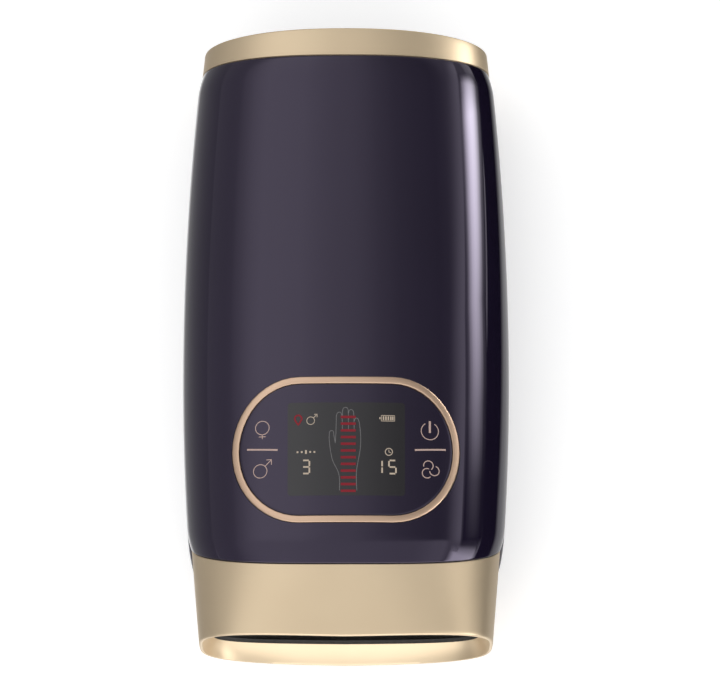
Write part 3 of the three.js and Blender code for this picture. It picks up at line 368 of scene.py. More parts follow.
def spigot(angle, edge, way):
    """The part of a metal ring that reaches under the lacquer."""
    outer = WALL + GAP
    rows = [(edge + way * SPIGOT, outer + SPIGOT_WALL), (edge + way * SPIGOT, outer),
            (edge + way * GAP, outer), (edge, outer)]
    return [skin(angle, y, barrel(y), drop, BASE) for y, drop in rows]


def funnel(angle, lip_point):
    """From the lip into the throat, a little fuller than a straight line, and round the throat's edge."""
    across, up = section(angle, THROAT_POWER)
    deep = mouth_edge(angle, THROAT_Y, THROAT_SWEEP, THROAT_POWER)
    throat = (THROAT_SIZE[0] * across, deep, THROAT_SIZE[1] * up)
    rows = []
    for share in angles(0.08, 1, 14):
        x, y, z = mix(lip_point, throat, share)
        swell = math.sin(math.pi * share)
        rows.append((x * (1 + 0.005 * swell), y, z * (1 + 0.01 * swell)))
    rows.append((throat[0] * 1.001, deep + 0.5, throat[2] * 1.002))
    return rows + [(throat[0], deep + THROAT_WALL, throat[2])]


def collar_profile(angle):
    edge, rim = front_edge(angle) - GAP, mouth_edge(angle, RIM_Y, RIM_SWEEP, RIM_POWER)

    def at(y, drop, power):
        return skin(angle, y, collar(y), drop, BAND_BASE, power)

    edge_point, rim_point = at(edge - METAL_EDGE, 0, POWER), at(rim + LIP, 0, RIM_POWER)
    rows = [at(edge, METAL_EDGE, POWER)]
    rows += [mix(edge_point, rim_point, share) for share in COLLAR_SHARES]
    rows += [at(rim + back, drop, RIM_POWER) for drop, back in rounded(LIP, 8, 0.3, 2.2)]
    rows += funnel(angle, rows[-1])
    rows += [at(rim + FUNNEL_BACK, COLLAR_WALL, RIM_POWER), at(edge, COLLAR_WALL, POWER)]
    return rows + spigot(angle, edge, 1)


def band_profile(angle, edge=REAR_Y + GAP, radius=0.7):
    end = band_end(angle)
    rows = [(edge, METAL_EDGE), (edge + METAL_EDGE, 0)]
    rows += [(edge + (end - radius - edge) * share, 0) for share in (0.2, 0.5, 0.8, 1)]
    rows += [(end - back, drop) for drop, back in rounded(radius, 5, 0.3)]
    rows += [(end, BAND_WALL - 0.3), (end - 0.3, BAND_WALL), (edge, BAND_WALL)]
    return [skin(angle, y, band(y), drop, BAND_BASE) for y, drop in rows] + spigot(angle, edge, -1)


mouth_collar = ring("mouth_collar", collar_profile)
rear_band = ring("rear_band_metal", band_profile)
print("points in the collar:", len(mouth_collar.data.vertices))

# %% [markdown]
# ## The cover at the back
# A shallow crowned plate closes the rear band. Its loops shrink toward the middle, so the plate is smooth
# in every direction, and a small rounded slot is cut for the charge socket.

# %% End cover and charge socket
SOCKET_Z, SOCKET_FACE, SOCKET_DEPTH = -24, BAND_END_Y - 0.4, 7.4
COVER_CROWN, COVER_THICK, COVER_ROUND = 2.8, 2.5, 0.7
COVER_SHARES = (0.02, 0.1, 0.2, 0.3, 0.4, 0.5, 0.6, 0.7, 0.8, 0.88, 0.94, 0.98)


def rounded_rectangle(half_width, half_height, radius, steps=6):
    outline = []
    for number, (side, up) in enumerate([(1, 1), (-1, 1), (-1, -1), (1, -1)]):
        start = number * math.pi / 2
        outline += around(side * (half_width - radius), up * (half_height - radius), radius,
                          angles(start, start + math.pi / 2, steps))
    return outline


def cover_loop(share, depth, inset=0.0):
    loop = []
    for a in turn(240):
        across, up = section(a)
        half_width, half_height = band(band_end(a) - 2.9)
        z = (half_height - COVER_THICK - inset) * up
        y = SOCKET_FACE + COVER_CROWN * (1 - share ** 2) - COVER_CROWN * across ** 2 * share ** 2 - depth
        z = soft_floor(z, BAND_BASE + COVER_THICK + inset) if z < 0 else z
        loop.append(((half_width - COVER_THICK - inset) * across * share, y, z * share))
    return loop


cover_loops = [cover_loop(share, 0) for share in COVER_SHARES]
cover_loops += [cover_loop(1, depth, inset) for depth, inset in rounded(COVER_ROUND)]
cover_loops += [cover_loop(share, COVER_THICK) for share in (1, 0.75, 0.5, 0.25, 0.02)]
end_cover = solid("end_cover_lacquer", [loft(cover_loops)])


def socket_loop(offset, depth, half_width=4.5, half_height=1.7, radius=1.1):
    outline = rounded_rectangle(half_width + offset, half_height + offset, radius + offset)
    return [(x, SOCKET_FACE - depth, SOCKET_Z + z) for x, z in outline]


cut(end_cover, [solid("socket_hole", [loft([socket_loop(GAP, 14.2), socket_loop(GAP, -10.8)])])])
shell_rows = [(0, 0.15), (0, SOCKET_DEPTH), (-0.5, SOCKET_DEPTH), (-0.5, 0.15), (-0.25, 0)]
socket_shell = loft([socket_loop(offset, depth) for offset, depth in shell_rows], ring=True)
socket_floor = loft([socket_loop(-0.5, 7.3), socket_loop(-0.5, 6.4)])
charge_socket = solid("charge_socket_shell", [socket_shell, socket_floor])
tongue_rows = [(6.8, 0), (1.1, 0), (0.8, 0.2)]
tongue_loops = [socket_loop(-inset, depth, 3.1, 0.4, 0.3) for depth, inset in tongue_rows]
charge_tongue = solid("charge_socket_tongue", [loft(tongue_loops)])
print("cover reaches back to y =", round(max(v.co.y for v in end_cover.data.vertices) / MM, 1), "mm")

# %% [markdown]
# ## The panel: a metal ring round a lens
# The ring is a thin bead that follows the curve of the top. Every point of its profile is an offset from
# the oval and a lift over the lacquer, so the ring bends with the surface by itself. The lens lies inside
# it, a quarter of a millimetre lower.

# %% Trim ring and lens
def panel_loop(offset, lift, share=1.0):
    return [(x, y, body_top(x, y) + lift) for x, y in panel_outline(offset, share)]


def bead(width, rise, steps=14):
    rows = []
    for a in angles(0, math.pi, steps):
        across, up = section(a, 3.2)
        rows.append((-width / 2 + width / 2 * across, rise * up))
    return rows


TRIM_WIDTH, TRIM_RISE, LENS_INSET, LENS_SINK = 3, 0.5, 3.3, -0.25
trim_rows = bead(TRIM_WIDTH, TRIM_RISE)
trim_rows += [(-3, -2.55), (-5, -2.55), (-5, -5.5), (2, -5.5), (2, -3.9), (0, -3.9)]
panel_trim = solid("panel_trim_ring", [loft([panel_loop(o, lift) for o, lift in trim_rows], ring=True)])
lens_rows = [(0, 0, max(step / 40, 0.005)) for step in range(40)]
lens_rows += [(-0.12, 0, 1), (-0.04, -0.03, 1), (0, -0.12, 1)]
lens_rows += [(0, -2, share) for share in (1, 0.75, 0.5, 0.25, 0.01)]
panel_lens = solid("panel_lens_glass", [loft([panel_loop(offset - LENS_INSET, LENS_SINK + lift, share)
                                              for offset, lift, share in lens_rows])])
print("ring and lens:", len(panel_trim.data.polygons), len(panel_lens.data.polygons))

# %% [markdown]
# ## Printed signs
# The signs on the panel are ink, a few hundredths of a millimetre thick. A flat texture could carry them,
# but thin solids stay sharp at any distance and survive an export. Each stroke is a ribbon: the line is
# cut into short steps, widened to both sides, and laid on the curved lens.

# %% Helpers that print
INK = 0.04


def on_lens(x, y, lift):
    return (x, y, body_top(x, y) + LENS_SINK + lift)


def resample(line, step=1.0, closed=False):
    line = line + [line[0]] if closed else line
    points = [line[0]]
    for here, after in zip(line, line[1:]):
        count = max(1, math.ceil(math.dist(here, after) / step))
        points += [mix(here, after, n / count) for n in range(1, count + 1)]
    return points[:-1] if closed else points


def ribbon(line, width, closed=False, base=0.0):
    """One stroke: a thin solid along a line of plan points."""
    points = resample(line, closed=closed)
    count = len(points)
    loops = []
    for n, (x, y) in enumerate(points):
        before = points[(n - 1) % count] if closed or n else points[n]
        after = points[(n + 1) % count] if closed or n < count - 1 else points[n]
        dx, dy = after[0] - before[0], after[1] - before[1]
        length = math.hypot(dx, dy)
        sx, sy = -dy / length * width / 2, dx / length * width / 2
        loops.append([on_lens(x + sx, y + sy, base), on_lens(x - sx, y - sy, base),
                      on_lens(x - sx, y - sy, base + INK), on_lens(x + sx, y + sy, base + INK)])
    return loft(loops, ring=closed)


def arc(x, y, radius, start, end, steps=28):
    return around(x, y, radius, angles(math.radians(start), math.radians(end), steps))


def circle(x, y, radius, width=0.34, base=0.0):
    return ribbon(arc(x, y, radius, 0, 360)[:-1], width, closed=True, base=base)


def sign(name, parts):
    return solid(name, parts, edge=60)


print("ink is", INK, "mm thick")

# %% [markdown]
# ### The touch keys
# Four keys sit left and right of the display, each with a thin sign, and a short bar parts each pair.
# The signs are the usual ones: two figures for who is using it, a power sign, and three curls for air.

# %% Signs of the touch keys
KEY_X, UPPER_KEY_Y, LOWER_KEY_Y, BAR_Y = 37.8, -48.1, -67.7, -57.9


def venus(x, y, radius, width=0.34):
    half, bar_y = 0.5 * radius, y - 1.3 * radius
    return [circle(x, y, radius, width), ribbon([(x, y - radius), (x, y - 1.62 * radius)], width),
            ribbon([(x - half, bar_y), (x + half, bar_y)], width)]


def mars(x, y, radius, width=0.34, base=0.0):
    near, far = 0.72 * radius, 1.66 * radius
    return [circle(x, y, radius, width, base),
            ribbon([(x + near, y + near), (x + far, y + far)], width, base=base),
            ribbon([(x + far - 0.75 * radius, y + far), (x + far + width / 2, y + far)], width, base=base),
            ribbon([(x + far, y + far + width / 2), (x + far, y + far - 0.75 * radius)], width, base=base)]


def curls(x, y, reach=2.05, radius=2.15, width=0.42):
    rows = []
    for lean in (110, 230, 350):
        a = math.radians(lean)
        middle_x, middle_y = x + reach * math.cos(a), y + reach * math.sin(a)
        rows.append(ribbon(arc(middle_x, middle_y, radius, lean - 165, lean + 84), width))
    return rows


key_signs = {
    "key_sign_venus": venus(-37.7, UPPER_KEY_Y + 0.15, 3.1),
    "key_sign_mars": mars(-38.6, LOWER_KEY_Y, 3.05),
    "key_sign_power": [ribbon(arc(KEY_X, -49.4, 3.9, 122, 418), 0.38),
                       ribbon([(KEY_X, -44.8), (KEY_X, -50.2)], 0.95)],
    "key_sign_air": curls(KEY_X, LOWER_KEY_Y + 0.6),
    "key_bar_left": [ribbon([(-44.6, BAR_Y + 0.42), (-30.8, BAR_Y - 0.42)], 0.75)],
    "key_bar_right": [ribbon([(31, BAR_Y - 0.42), (45, BAR_Y + 0.42)], 0.75)],
}
key_pieces = [sign(name, parts) for name, parts in key_signs.items()]
print("signs on the keys:", len(key_pieces))

# %% [markdown]
# ### The display
# The display is a dark grey window under the lens, with rounded corners. On it stand a hand with twelve
# red bars, a battery, and two plain seven-segment numbers. A seven-segment digit is cheap to describe: a
# table says which of its seven strokes are lit.

# %% The display window
WINDOW_HALF_SIZE, WINDOW_CORNER, WINDOW_MIDDLE = (26.4, 21.25), 1.5, (0.15, -58.2)
WINDOW_RINGS, WINDOW_SINK = 16, 0.02


def window_loop(lift, share):
    outline = resample(rounded_rectangle(*WINDOW_HALF_SIZE, WINDOW_CORNER), 1.5, closed=True)
    return [on_lens(WINDOW_MIDDLE[0] + x * share, WINDOW_MIDDLE[1] + y * share, lift) for x, y in outline]


window_shares = [1 - step / WINDOW_RINGS for step in range(WINDOW_RINGS)]
window_loops = [window_loop(-WINDOW_SINK, share) for share in reversed(window_shares)]
window_loops += [window_loop(INK / 2, share) for share in window_shares]
display_window = solid("display_window", [loft(window_loops)], edge=60)

SEGMENTS = {"a": ((0, 1), (1, 1)), "b": ((1, 1), (1, 0.5)), "c": ((1, 0.5), (1, 0)), "d": ((0, 0), (1, 0)),
            "e": ((0, 0), (0, 0.5)), "f": ((0, 0.5), (0, 1)), "g": ((0, 0.5), (1, 0.5))}
DIGITS = {"1": "bc", "3": "abcdg", "5": "afgcd"}


def mark(line, width, closed=False):
    """A printed line on the display, clear of the window's face."""
    return ribbon(line, width, closed=closed, base=INK)


def digit(figure, x, y, width=3.1, height=6.0, stroke=0.72, gap=0.28):
    parts = []
    for name in DIGITS[figure]:
        start, end = [(x + width * (across - 0.5), y + height * (up - 0.5)) for across, up in SEGMENTS[name]]
        trim = gap / math.dist(start, end)
        parts.append(mark([mix(start, end, trim), mix(end, start, trim)], stroke))
    return parts


print("strokes in the figure 3:", len(DIGITS["3"]))

# %% [markdown]
# The small signs are strokes of the same kind. They start half a layer of ink over the face of the window,
# because two surfaces at one height flicker. Each sign is one object of its own, so that it can be moved or
# recoloured alone.

# %% Numbers, battery and small signs
battery_frame = [(15.9, -42.9), (21.9, -42.9), (21.9, -45.4), (15.9, -45.4)]
battery_parts = [mark(battery_frame, 0.28, closed=True), mark([(15.3, -43.7), (15.3, -44.6)], 0.5)]
battery_parts += [mark([(x, -43.3), (x, -45.0)], 0.62) for x in (16.9, 18.0, 19.1, 20.2, 21.1)]
program_dots = [mark([(x - 0.4, -59.6), (x + 0.4, -59.6)], 0.8 if x != -18.0 else 1.7)
                for x in (-21.8, -19.9, -18.0, -16.1, -14.2)]
clock_parts = [circle(19.3, -59.5, 1.6, 0.36, INK), mark([(19.3, -58.5), (19.3, -59.6)], 0.3),
               mark([(19.2, -59.5), (20.2, -59.9)], 0.3)]
heat_drop = arc(-21.5, -44.3, 1.55, -30, 210, 24) + [(-22.1, -46.3), (-21.5, -47.2), (-20.9, -46.3)]
display_pieces = [
    sign("display_three", digit("3", -18.0, -66.4)),
    sign("display_fifteen", digit("1", 14.7, -66.4) + digit("5", 20.9, -66.4)),
    sign("display_battery", battery_parts),
    sign("display_program", program_dots),
    sign("display_clock", clock_parts),
    sign("display_mars", mars(-15.9, -45.3, 1.75, 0.3, INK)),
]
heat_sign = sign("display_heat", [mark(heat_drop, 0.75, closed=True)])
print("signs on the display:", len(display_pieces) + 1)

# %% [markdown]
# The hand is drawn as a few open lines, as on a simple screen: the two sides of the arm and palm, the
# thumb, and the fingers side by side. Twelve short red bars run up its middle and show where it presses.

# %% The hand and its bars
def smooth(line, rounds=3):
    """Rounds the corners of a line by cutting them, again and again."""
    for _ in range(rounds):
        cut_line = [line[0]]
        for here, after in zip(line, line[1:]):
            cut_line += [mix(here, after, 0.25), mix(here, after, 0.75)]
        line = cut_line + [line[-1]]
    return line


hand_lines = [
    [(-2.9, -77.2), (-2.8, -71.5), (-3.6, -68.2), (-6.1, -63.8), (-7.1, -58.5), (-7.6, -53.6), (-7.5, -51.6)],
    [(-7.5, -51.6), (-7.4, -50.0), (-5.6, -49.9), (-5.5, -51.8), (-4.8, -55.6)],
    [(-4.8, -55.6), (-4.5, -51.0), (-4.4, -46.0), (-4.3, -41.9), (-2.4, -41.2), (-1.7, -43.2), (-1.6, -49.8)],
    [(-1.6, -43.0), (-1.5, -39.4), (0.9, -39.2), (1.1, -42.4), (1.1, -49.8)],
    [(1.1, -42.4), (1.4, -40.3), (3.3, -40.3), (3.6, -43.4), (3.7, -50.4)],
    [(3.7, -45.6), (4.3, -44.0), (5.6, -44.4), (6.3, -48.0), (6.7, -53.0), (6.5, -58.5), (5.5, -63.5),
     (4.7, -68.0), (4.6, -72.0), (4.9, -77.2)],
]
hand_outline = sign("display_hand", [mark(smooth(line), 0.24) for line in hand_lines])
BAR_FIRST, BAR_STEP, BAR_COUNT, BAR_ENDS, BAR_WIDTH = -43.68, -3.063, 12, (-2.35, 4.4), 1.15
bars = [ribbon([(x, BAR_FIRST + BAR_STEP * n) for x in BAR_ENDS], BAR_WIDTH, base=2 * INK)
        for n in range(BAR_COUNT)]
pressure_bars = sign("display_bars", bars)
print("bars on the hand:", BAR_COUNT)

# %% [markdown]
# ## Feet
# Four rubber feet carry the weight. Each is turned on a lathe: a profile of radius and height, swung round
# an upright axis. A shallow ring is pressed into the sole.

# %% Rubber feet
FEET = [(-27, -88), (27, -88), (-27, 78), (27, 78)]


def lathe(profile, x, y, steps=48):
    return loft([[(*point, z) for point in around(x, y, radius, turn(steps))] for radius, z in profile])


foot_profile = [(0.05, 0.35), (3.2, 0.35), (3.5, 0.05), (4.4, 0), (5.7, 0), (6.1, 0.12), (6.4, 0.4),
                (6.5, 0.8), (6.5, 1.5), (6.35, 1.7), (0.05, 1.7)]
feet = [solid(f"rubber_foot_{n + 1}", [lathe([(r, z + BASE - 2) for r, z in foot_profile], x, y)])
        for n, (x, y) in enumerate(FEET)]
print("feet:", len(feet))

# %% [markdown]
# ## Finishes
# A finish is a small graph of nodes. Three helpers keep each one short: one starts a material with its
# plain values, one varies a colour with noise, and one turns a pattern into fine relief. All patterns are
# laid out in object space, in metres, so a grain of half a millimetre is the same size on every piece.

# %% Helpers that make finishes
def finish(name, color, metallic=0.0, roughness=0.5, **inputs):
    material = bpy.data.materials.new(name)
    material.use_nodes = True
    shader = material.node_tree.nodes["Principled BSDF"]
    shader.inputs["Base Color"].default_value = (*color, 1)
    shader.inputs["Metallic"].default_value = metallic
    shader.inputs["Roughness"].default_value = roughness
    for key, value in inputs.items():
        shader.inputs[key.replace("_", " ")].default_value = value
    return material


def node(material, kind, **values):
    made = material.node_tree.nodes.new(kind)
    for key, value in values.items():
        if key in made.inputs:
            made.inputs[key].default_value = value
        else:
            setattr(made, key, value)
    return made


def link(material, source, output, target, socket):
    """Joins an output of one node to an input of another, each given by its name or number."""
    material.node_tree.links.new(source.outputs[output], target.inputs[socket])


def noise(material, scale, detail=2.0, stretch=(1, 1, 1)):
    place_node = node(material, "ShaderNodeTexCoord")
    mapping = node(material, "ShaderNodeMapping")
    mapping.inputs["Scale"].default_value = stretch
    texture = node(material, "ShaderNodeTexNoise", Scale=scale, Detail=detail)
    link(material, place_node, "Object", mapping, "Vector")
    link(material, mapping, "Vector", texture, "Vector")
    return texture


def wave(material, scale, direction, distortion=0.0):
    place_node = node(material, "ShaderNodeTexCoord")
    texture = node(material, "ShaderNodeTexWave", Scale=scale, Distortion=distortion)
    texture.bands_direction = direction
    link(material, place_node, "Object", texture, "Vector")
    return texture


def tint(material, texture, dark, light, low=0.35, high=0.65):
    """The base colour runs from dark to light with the texture."""
    ramp = node(material, "ShaderNodeValToRGB")
    ramp.color_ramp.elements[0].position, ramp.color_ramp.elements[1].position = low, high
    ramp.color_ramp.elements[0].color, ramp.color_ramp.elements[1].color = (*dark, 1), (*light, 1)
    link(material, texture, "Fac", ramp, "Fac")
    link(material, ramp, "Color", material.node_tree.nodes["Principled BSDF"], "Base Color")


def wear(material, texture, low, high):
    """The roughness runs from low to high with the texture."""
    span = node(material, "ShaderNodeMapRange")
    span.inputs["To Min"].default_value, span.inputs["To Max"].default_value = low, high
    link(material, texture, "Fac", span, "Value")
    link(material, span, "Result", material.node_tree.nodes["Principled BSDF"], "Roughness")


def relief(material, texture, height, strength=1.0):
    """The texture becomes a bump of that height, in metres, on top of any that is there."""
    shader = material.node_tree.nodes["Principled BSDF"]
    bump = node(material, "ShaderNodeBump", Strength=strength, Distance=height)
    link(material, texture, "Fac", bump, "Height")
    used = shader.inputs["Normal"].links
    if used:
        link(material, used[0].from_node, "Normal", bump, "Normal")
    link(material, bump, "Normal", shader, "Normal")


def dress(piece, material):
    piece.data.materials.clear()
    piece.data.materials.append(material)


print("finish helpers ready")

# %% [markdown]
# ### Lacquer, metal and glass
# The shells are a dark purple gloss under a thin clear coat. The gloss itself tints what it mirrors a
# little, and the coat adds the white sparkle. The colour barely changes from place to place, and the
# surface has the faint waviness of a sprayed coat. The champagne parts are a satin metal
# paint: fine grain in the roughness, and a very shallow brushed relief that runs round the barrel.

# %% Finishes of the outside
GLOSS = {"Specular_IOR_Level": 0.42, "Specular_Tint": (0.78, 0.63, 1, 1), "Coat_Weight": 0.42,
         "Coat_Roughness": 0.045}
lacquer = finish("gloss_purple", (0.0088, 0.0062, 0.0168), roughness=0.05, **GLOSS)
tint(lacquer, noise(lacquer, 14), (0.0084, 0.0059, 0.0160), (0.0092, 0.0065, 0.0176))
wear(lacquer, noise(lacquer, 900, 3), 0.042, 0.062)
relief(lacquer, noise(lacquer, 260, 1), 0.0000015, 0.6)

champagne = finish("champagne", (0.65, 0.52, 0.355), metallic=0.8, roughness=0.42)
tint(champagne, noise(champagne, 30), (0.64, 0.51, 0.347), (0.66, 0.53, 0.363))
wear(champagne, noise(champagne, 2600, 4), 0.36, 0.48)
relief(champagne, noise(champagne, 900, 3, (0.25, 6, 0.25)), 0.000008, 0.5)

rose = finish("rose_plate", (0.57, 0.40, 0.285), metallic=0.8, roughness=0.3)
tint(rose, noise(rose, 40), (0.555, 0.388, 0.276), (0.585, 0.412, 0.294))
wear(rose, noise(rose, 2200, 3), 0.26, 0.36)
relief(rose, noise(rose, 1500, 3), 0.000004, 0.5)

lens_glass = finish("smoked_lens", (0.0096, 0.0070, 0.0176), roughness=0.055, **GLOSS)
tint(lens_glass, noise(lens_glass, 12), (0.0092, 0.0067, 0.0168), (0.0100, 0.0073, 0.0184))
relief(lens_glass, noise(lens_glass, 220, 1), 0.0000012, 0.5)

screen = finish("display_grey", (0.0100, 0.0088, 0.0112), roughness=0.4, Coat_Weight=0.9, Coat_Roughness=0.05,
                Specular_IOR_Level=0.1)
tint(screen, noise(screen, 3000, 2), (0.0094, 0.0082, 0.0105), (0.0106, 0.0094, 0.0119))
relief(screen, wave(screen, 900, "X"), 0.0000006, 0.3)


def printed(name, color, dark, light, shine=0.3):
    """A flat ink, a little uneven from place to place."""
    made = finish(name, color, roughness=0.5, Specular_IOR_Level=shine)
    tint(made, noise(made, 2500, 3), dark, light)
    return made


ink = printed("sign_ink", (0.48, 0.345, 0.30), (0.45, 0.32, 0.28), (0.51, 0.37, 0.32))
relief(ink, noise(ink, 4000, 2), 0.000004, 0.4)
digit_ink = printed("digit_ink", (0.50, 0.41, 0.32), (0.47, 0.38, 0.30), (0.53, 0.44, 0.34))
line_ink = printed("line_ink", (0.17, 0.165, 0.17), (0.155, 0.15, 0.155), (0.185, 0.18, 0.185))
red_ink = printed("red_ink", (0.22, 0.010, 0.020), (0.205, 0.009, 0.018), (0.235, 0.011, 0.022), 0.2)
print("outside finishes:", [m.name for m in (lacquer, champagne, rose, lens_glass, screen)])

# %% [markdown]
# ## Joining pieces to the frame
# Each new piece gets its finish and the body it rides on, and the solid that it stands for is hidden.
# The coat ends at the throat of the mouth and at the seam of the shells, so the faces behind those edges
# are left in black plastic.

# %% Outside pieces join the housing
def join(piece, body, slot_name, material, *nodes):
    dress(piece, material)
    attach(piece, body)
    if nodes:
        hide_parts(*nodes)


rubber = finish("rubber", (0.022, 0.022, 0.024), roughness=0.85)
tint(rubber, noise(rubber, 400, 3), (0.018, 0.018, 0.02), (0.028, 0.028, 0.03))
relief(rubber, noise(rubber, 3000, 3), 0.00004, 0.6)
steel = finish("steel", (0.56, 0.56, 0.57), metallic=1.0, roughness=0.32)
wear(steel, noise(steel, 1800, 4, (0.2, 4, 4)), 0.22, 0.42)
relief(steel, noise(steel, 1500, 2, (0.2, 5, 5)), 0.000006, 0.5)
black_plastic = finish("black_plastic", (0.062, 0.061, 0.059), roughness=0.55)
tint(black_plastic, noise(black_plastic, 500, 3), (0.055, 0.054, 0.052), (0.070, 0.069, 0.067))
relief(black_plastic, noise(black_plastic, 2600, 3), 0.00003, 0.5)
PARTING_FACE, COATED_ROWS = 0.35, 35


def bare(piece, chosen):
    """The faces that the coat doesn't reach keep the plain black plastic."""
    piece.data.materials.append(black_plastic)
    for face in piece.data.polygons:
        if chosen(face):
            face.material_index = 1


def at_parting(piece):
    heights = over_parting(piece)
    return lambda face: all(abs(heights[corner]) < PARTING_FACE for corner in face.vertices)


outside = [(upper_shell, "gloss_purple", lacquer, "upper_shell"),
           (lower_shell, "gloss_purple", lacquer, "lower_shell"),
           (end_cover, "gloss_purple", lacquer, "end_cover"),
           (mouth_collar, "champagne", champagne, "front_collar"),
           (rear_band, "champagne", champagne, "rear_band"),
           (panel_trim, "rose_plate", rose, "panel_trim"),
           (panel_lens, "smoked_lens", lens_glass, "panel_lens"),
           (display_window, "smoked_lens", screen),
           (charge_socket, "steel", steel, "charge_socket"),
           (charge_tongue, "black_plastic", black_plastic)]
outside += [(piece, "rose_plate", ink) for piece in key_pieces]
outside += [(piece, "rose_plate", digit_ink) for piece in display_pieces]
outside += [(hand_outline, "smoked_lens", line_ink), (pressure_bars, "smoked_lens", red_ink),
            (heat_sign, "smoked_lens", red_ink)]
outside += [(piece, "rubber", rubber, f"foot_{number}") for number, piece in enumerate(feet, 1)]
for piece, slot_name, material, *nodes in outside:
    join(piece, "housing", slot_name, material, *nodes)
bare(upper_shell, at_parting(upper_shell))
bare(lower_shell, at_parting(lower_shell))
bare(mouth_collar, lambda face: face.index % len(collar_profile(0)) >= COATED_ROWS)
print("outside pieces joined:", len(outside))

# %% [markdown]
# ## The soft lining
# Inside the mouth everything that touches the hand is soft. Three pads hang under three air cells, a long
# palm rest lies below with small nodules on it, and cloth liners close the sides and the back. Each soft
# piece has a room, the space its solid takes up, and has to fill it without leaving it.

# %% The rooms of the soft pieces
def tunnel(x, inset, top=True):
    """Height of the rigid tunnel over or under its middle."""
    half_height = (39 if top else 36.5) - inset
    return half_height * (1 - min(abs(x) / (63 - inset), 1) ** FRAME_POWER) ** (1 / FRAME_POWER)


PAD_SPANS = {"wrist": (-126.3, -55.2), "palm": (-53.2, 17.9), "finger": (19.9, 91.0)}
PAD_HALF_WIDTH, PAD_LOW, PAD_TOP = 42, 25.6, 30.1
REST_SPAN, REST_LOW, REST_TOP = (-126.3, 91.0), -28.4, -23.4


def pillow(low, high, rim, start, rise):
    """Underside and top of a piece that is thin at its rim and swells inward."""
    def heights(x, depth):
        share = min(max(depth - start, 0) / rise, 1)
        full = math.sqrt(1 - (1 - share) ** 2)
        middle, half = (low(x) + high(x)) / 2, (high(x) - low(x)) / 2
        half = rim / 2 + (half - rim / 2) * full
        return middle - half, middle + half
    return heights


def slab(name, half_width, span, corner, heights, step=1.5):
    """A closed skin over a rounded rectangle, as an even grid of four-sided faces."""
    middle, half_length = sum(span) / 2, (span[1] - span[0]) / 2
    columns, rows = round(2 * half_width / step), round(2 * half_length / step)
    low, high = [], []
    for row in range(rows + 1):
        y = half_length * (2 * row / rows - 1)
        over = max(0, abs(y) - half_length + corner)
        room = half_width - corner + math.sqrt(max(corner ** 2 - over ** 2, 0))
        for column in range(columns + 1):
            x = room * (2 * column / columns - 1)
            floor, top = heights(x, min(room - abs(x), half_length - abs(y)))
            low.append((x, middle + y, floor))
            high.append((x, middle + y, top))
    across, size = columns + 1, len(low)
    faces = []
    for row in range(rows):
        for column in range(columns):
            here = row * across + column
            quad = (here, here + 1, here + 1 + across, here + across)
            faces += [quad[::-1], tuple(size + corner for corner in quad)]
    rim = list(range(across)) + [row * across + columns for row in range(1, rows + 1)]
    rim += [rows * across + column for column in range(columns - 1, -1, -1)]
    rim += [row * across for row in range(rows - 1, 0, -1)]
    faces += [(one, two, size + two, size + one) for one, two in zip(rim, rim[1:] + rim[:1])]
    return solid(name, [(low + high, faces)], edge=80)


print("room of a pad:", 2 * PAD_HALF_WIDTH, "by", round(PAD_SPANS["palm"][1] - PAD_SPANS["palm"][0], 1), "mm")

# %% [markdown]
# ### Blowing a cover up
# A padded cover is a flat bag with something pressing it from inside. A cloth simulation does the same: the
# skin gets an inner pressure, no gravity, and twenty frames of time. The simulation likes sizes near a
# metre, so it works on a copy a hundred times as large. Afterwards each point may keep its direction, but
# moves only as far as its room allows.

# %% Helpers for soft pieces
SIM_SCALE, SIM_FRAMES, AIR_PRESSURE = 100, 20, 4.0


def inflate(piece, reach):
    """Blows a skin up, and lets no point move further than reach, in millimetres."""
    start = [v.co.copy() for v in piece.data.vertices]
    bag = add_object(piece.name + "_bag", piece.data.copy())
    for v in bag.data.vertices:
        v.co *= SIM_SCALE
    cloth = bag.modifiers.new("air", "CLOTH")
    cloth.settings.quality = 4
    cloth.settings.use_pressure = True
    cloth.settings.uniform_pressure_force = AIR_PRESSURE
    cloth.settings.effector_weights.gravity = 0
    cloth.point_cache.frame_start, cloth.point_cache.frame_end = 1, SIM_FRAMES
    for number in range(1, SIM_FRAMES + 1):
        scene.frame_set(number)
    blown = bag.evaluated_get(bpy.context.evaluated_depsgraph_get()).to_mesh()
    farthest = 0.0
    for v, old, new in zip(piece.data.vertices, start, blown.vertices):
        move = new.co / SIM_SCALE - old
        length = max(move.length, 1e-9)
        v.co = old + move * (reach * MM * math.tanh(length / (reach * MM)) / length)
        farthest = max(farthest, length)
    bpy.data.objects.remove(bag)
    scene.frame_set(1)
    return farthest


def refine(piece):
    finer = piece.modifiers.new("finer", "SUBSURF")
    finer.levels = finer.render_levels = 1
    apply_modifiers(piece)
    shade(piece.data, 80)


def reshape(piece, change):
    """Moves every point: change takes and gives x, y, z in the drawing's millimetres."""
    for v in piece.data.vertices:
        v.co = place(*change(v.co.x / MM, v.co.y / MM, v.co.z / MM - PARTING))


def groove(distance, width):
    return math.exp(-(distance / width) ** 2)


def copy_piece(piece, name, shift):
    """A copy moved along the hand, with its own mesh."""
    mesh = piece.data.copy()
    for v in mesh.vertices:
        v.co.y += shift * MM
    return add_object(name, mesh)


print("soft helpers ready")

# %% [markdown]
# ### The three pads
# A pad is a thin foam sheet in a knitted cover. Three rows of stitches run across the hand and draw both
# faces together, so that the pad presses in soft ribs. A piping closes its edge. The three pads are the
# same pattern, so one is blown up and the others are copies of it.

# %% Pads with channels, piping and stitches
PAD_REACH, PAD_CORNER, PAD_CORD, STITCH_SINK = 0.8, 7, 0.85, 1.15
CHANNELS, CHANNEL_SINK = (-17.8, 0, 17.8), 0.55


